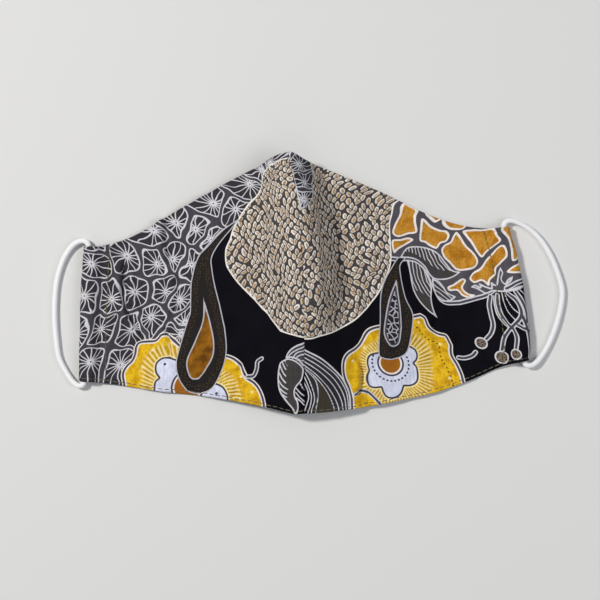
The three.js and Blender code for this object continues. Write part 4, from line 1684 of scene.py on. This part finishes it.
def stitch_row(name, points, normal, length, gap, lift):
    """A row of stitches along a line on the cloth: one small capsule for each."""
    along = along_path(points)
    corners, faces, places = [], [], []
    for i in range(int(along[-1] // (length + gap))):
        start = (i + 0.5) * (length + gap) - length / 2
        ends = at_places(np.array([start, start + length]), along, points)
        rise = at_places(start + length / 2, along, normal)
        rise /= np.linalg.norm(rise)
        middle = ends.mean(axis=0)
        half = (ends[1] - ends[0]) / 2
        across = np.cross(half, rise)
        across /= np.linalg.norm(across)
        first = len(corners)
        for share, width in CAPSULE_RINGS:
            sink = -END_SINK * THREAD * abs(share) ** END_POWER
            centre = middle + half * share + rise * (lift + sink)
            for angle in np.arange(CAPSULE_SIDES) * (2 * math.pi / CAPSULE_SIDES):
                around = across * math.cos(angle) + rise * math.sin(angle)
                corners.append(centre + THREAD / 2 * width * around)
                places.append((share * length / 2 + i, angle, 0))
        last = len(corners) - CAPSULE_SIDES
        for ring_start in range(first, last, CAPSULE_SIDES):
            for k in range(CAPSULE_SIDES):
                a = ring_start + k
                b = ring_start + (k + 1) % CAPSULE_SIDES
                faces.append((a, b, b + CAPSULE_SIDES, a + CAPSULE_SIDES))
        faces.append([first + k for k in reversed(range(CAPSULE_SIDES))])
        faces.append([last + k for k in range(CAPSULE_SIDES)])
    corners = np.array(corners)
    corners[:, 2] = np.maximum(corners[:, 2], FLOOR_CLEARANCE)
    piece = new_object(name, corners, faces)
    keep_numbers(piece, "thread_place", places)
    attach(piece, "root")
    return piece


def hem_stitches(panel, material):
    """Stitches on the cloth's front, at one distance from the chin edge."""
    points, normal = [], []
    for outer, middle, along in zip(panel.outer, panel.normal, lengths(panel.outer, 1)):
        points.append(at_places(HEM_STITCH_INSET, along, outer))
        normal.append(at_places(HEM_STITCH_INSET, along, middle))
    skip = HEM_ROWS_WITHOUT_STITCHES
    line = np.array(points)[skip:], np.array(normal)[skip:]
    name = panel.name + "_hem_stitches"
    piece = stitch_row(name, *line, HEM_STITCH_LENGTH, STITCH_GAP, HEM_STITCH_LIFT)
    piece.data.materials.append(material)
    return piece


def casing_stitches(panel, material):
    """Stitches beside the casing, from the chin edge to the nose edge."""
    line = panel.body_count - 1 - CASING_STITCH_INSET
    name = panel.name + "_casing_stitches"
    sizes = CASING_STITCH_LENGTH, CASING_STITCH_GAP, CASING_STITCH_LIFT
    piece = stitch_row(name, panel.outer[line], panel.normal[line], *sizes)
    piece.data.materials.append(material)
    return piece


# The print on the panels

# Each panel's chart: outlines, stems, ordered groups of lines, and single places in the photograph
CHARTS = {
    "left": {
        "outlines": LEFT_OUTLINES,
        "lines": LEFT_LINES,
        "marks": {"blossom": (187, 396), "core": (188.5, 386), "leaf": (288.5, 375)},
        "core_radius": 17.5,
    },
    "right": {
        "outlines": RIGHT_OUTLINES,
        "lines": RIGHT_LINES,
        "marks": {
            "blossom": (392, 369), "core": (389.7, 362.4),
            "leaf": (428, 262), "lower_leaf": (416, 285),
        },
        "core_radius": 13.4,
    },
}
ORDERED_GROUPS = ("strand", "vein", "fan")


def print_on(panel, piece):
    """Stores, at each point of the cloth, its distances from the outlines of the print."""
    points = panel.flat.reshape(-1, 2)
    chart = CHARTS[panel.name]
    marks = {name: on_cloth(panel, [pixel])[0] for name, pixel in chart["marks"].items()}

    def store(field, values):
        grid = values.reshape(*panel.flat.shape[:2], *values.shape[1:])
        keep_numbers(piece, field, panel.spread(grid))

    def away_from(place, radius):
        return np.linalg.norm(points - place, axis=1) - radius * PHOTO_PIXEL

    for field, sides in chart["outlines"].items():
        store(field, signed_distance(points, shape_on(panel, sides)))
    for field in ("stem", "strand"):
        store(field, nearest_line(points, lines_on(panel, chart["lines"][field]))[0])
    for field in ORDERED_GROUPS:
        if field in chart["lines"]:
            phase, pitch = across_lines(points, lines_on(panel, chart["lines"][field]))
            store(field + "_phase", phase)
            store(field + "_pitch", pitch)
    store("core", away_from(marks["core"], chart["core_radius"]))
    store("spots", nearest_spot(points, on_cloth(panel, STAR_SPOTS)))
    store("eyes", nearest_spot(points, on_cloth(panel, PETAL_EYES)))
    room, wheel_place = wheel_cells(panel, points)
    store("wheel_room", room)
    store("wheel_place", wheel_place)
    if panel.name == "right":
        rings = [on_cloth(panel, ring(pixels)) for pixels in PATCHES]
        store("patch", np.min([signed_distance(points, closed) for closed in rings], axis=0))
        distance, side = nearest_line(points, lines_on(panel, [MIDRIB]))
        store("midrib", np.sign(side) * distance)
        berries = [away_from(on_cloth(panel, [(x, y)])[0], radius) for x, y, radius in BERRIES]
        store("berry", np.minimum(np.min(berries, axis=0), FAR))
    store("print_place", np.column_stack((points, np.zeros(len(points)))))
    return {name: place.tolist() for name, place in marks.items()}


def flat_size(panel):
    """The area of the cloth, spread flat, and the size of the rectangle that it was cut from."""
    a = panel.outer[1:, :-1] - panel.outer[:-1, :-1]
    b = panel.outer[:-1, 1:] - panel.outer[:-1, :-1]
    area = np.linalg.norm(np.cross(a, b), axis=-1).sum()
    return area, lengths(panel.outer, 0)[-1].max(), lengths(panel.outer, 1)[:, -1].max()


# The scene

PANEL_SEEDS = {"left": 11, "right": 23}

bpy.context.scene.view_settings.view_transform = "Standard"
camera()
lights()
floor()

braided = braided_elastic()
ear_loop("left_ear_loop", LEFT_LOOP, braided)
ear_loop("right_ear_loop", RIGHT_LOOP, braided)

hem_thread = sewing_thread("hem_thread", "7d7657", "4a4532")
casing_thread = sewing_thread("casing_thread", "858037", "4d4b1a")
plain = plain_cotton()
for name, seed in PANEL_SEEDS.items():
    panel = Panel(name, seed)
    piece = panel.mesh()
    piece.data.materials[0] = printed_cotton(name, print_on(panel, piece))
    piece.data.materials[1] = plain
    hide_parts(name + "_panel")
    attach(piece, "root")
    hem = hem_stitches(panel, hem_thread)
    side = casing_stitches(panel, casing_thread)
    area, width, length = flat_size(panel)
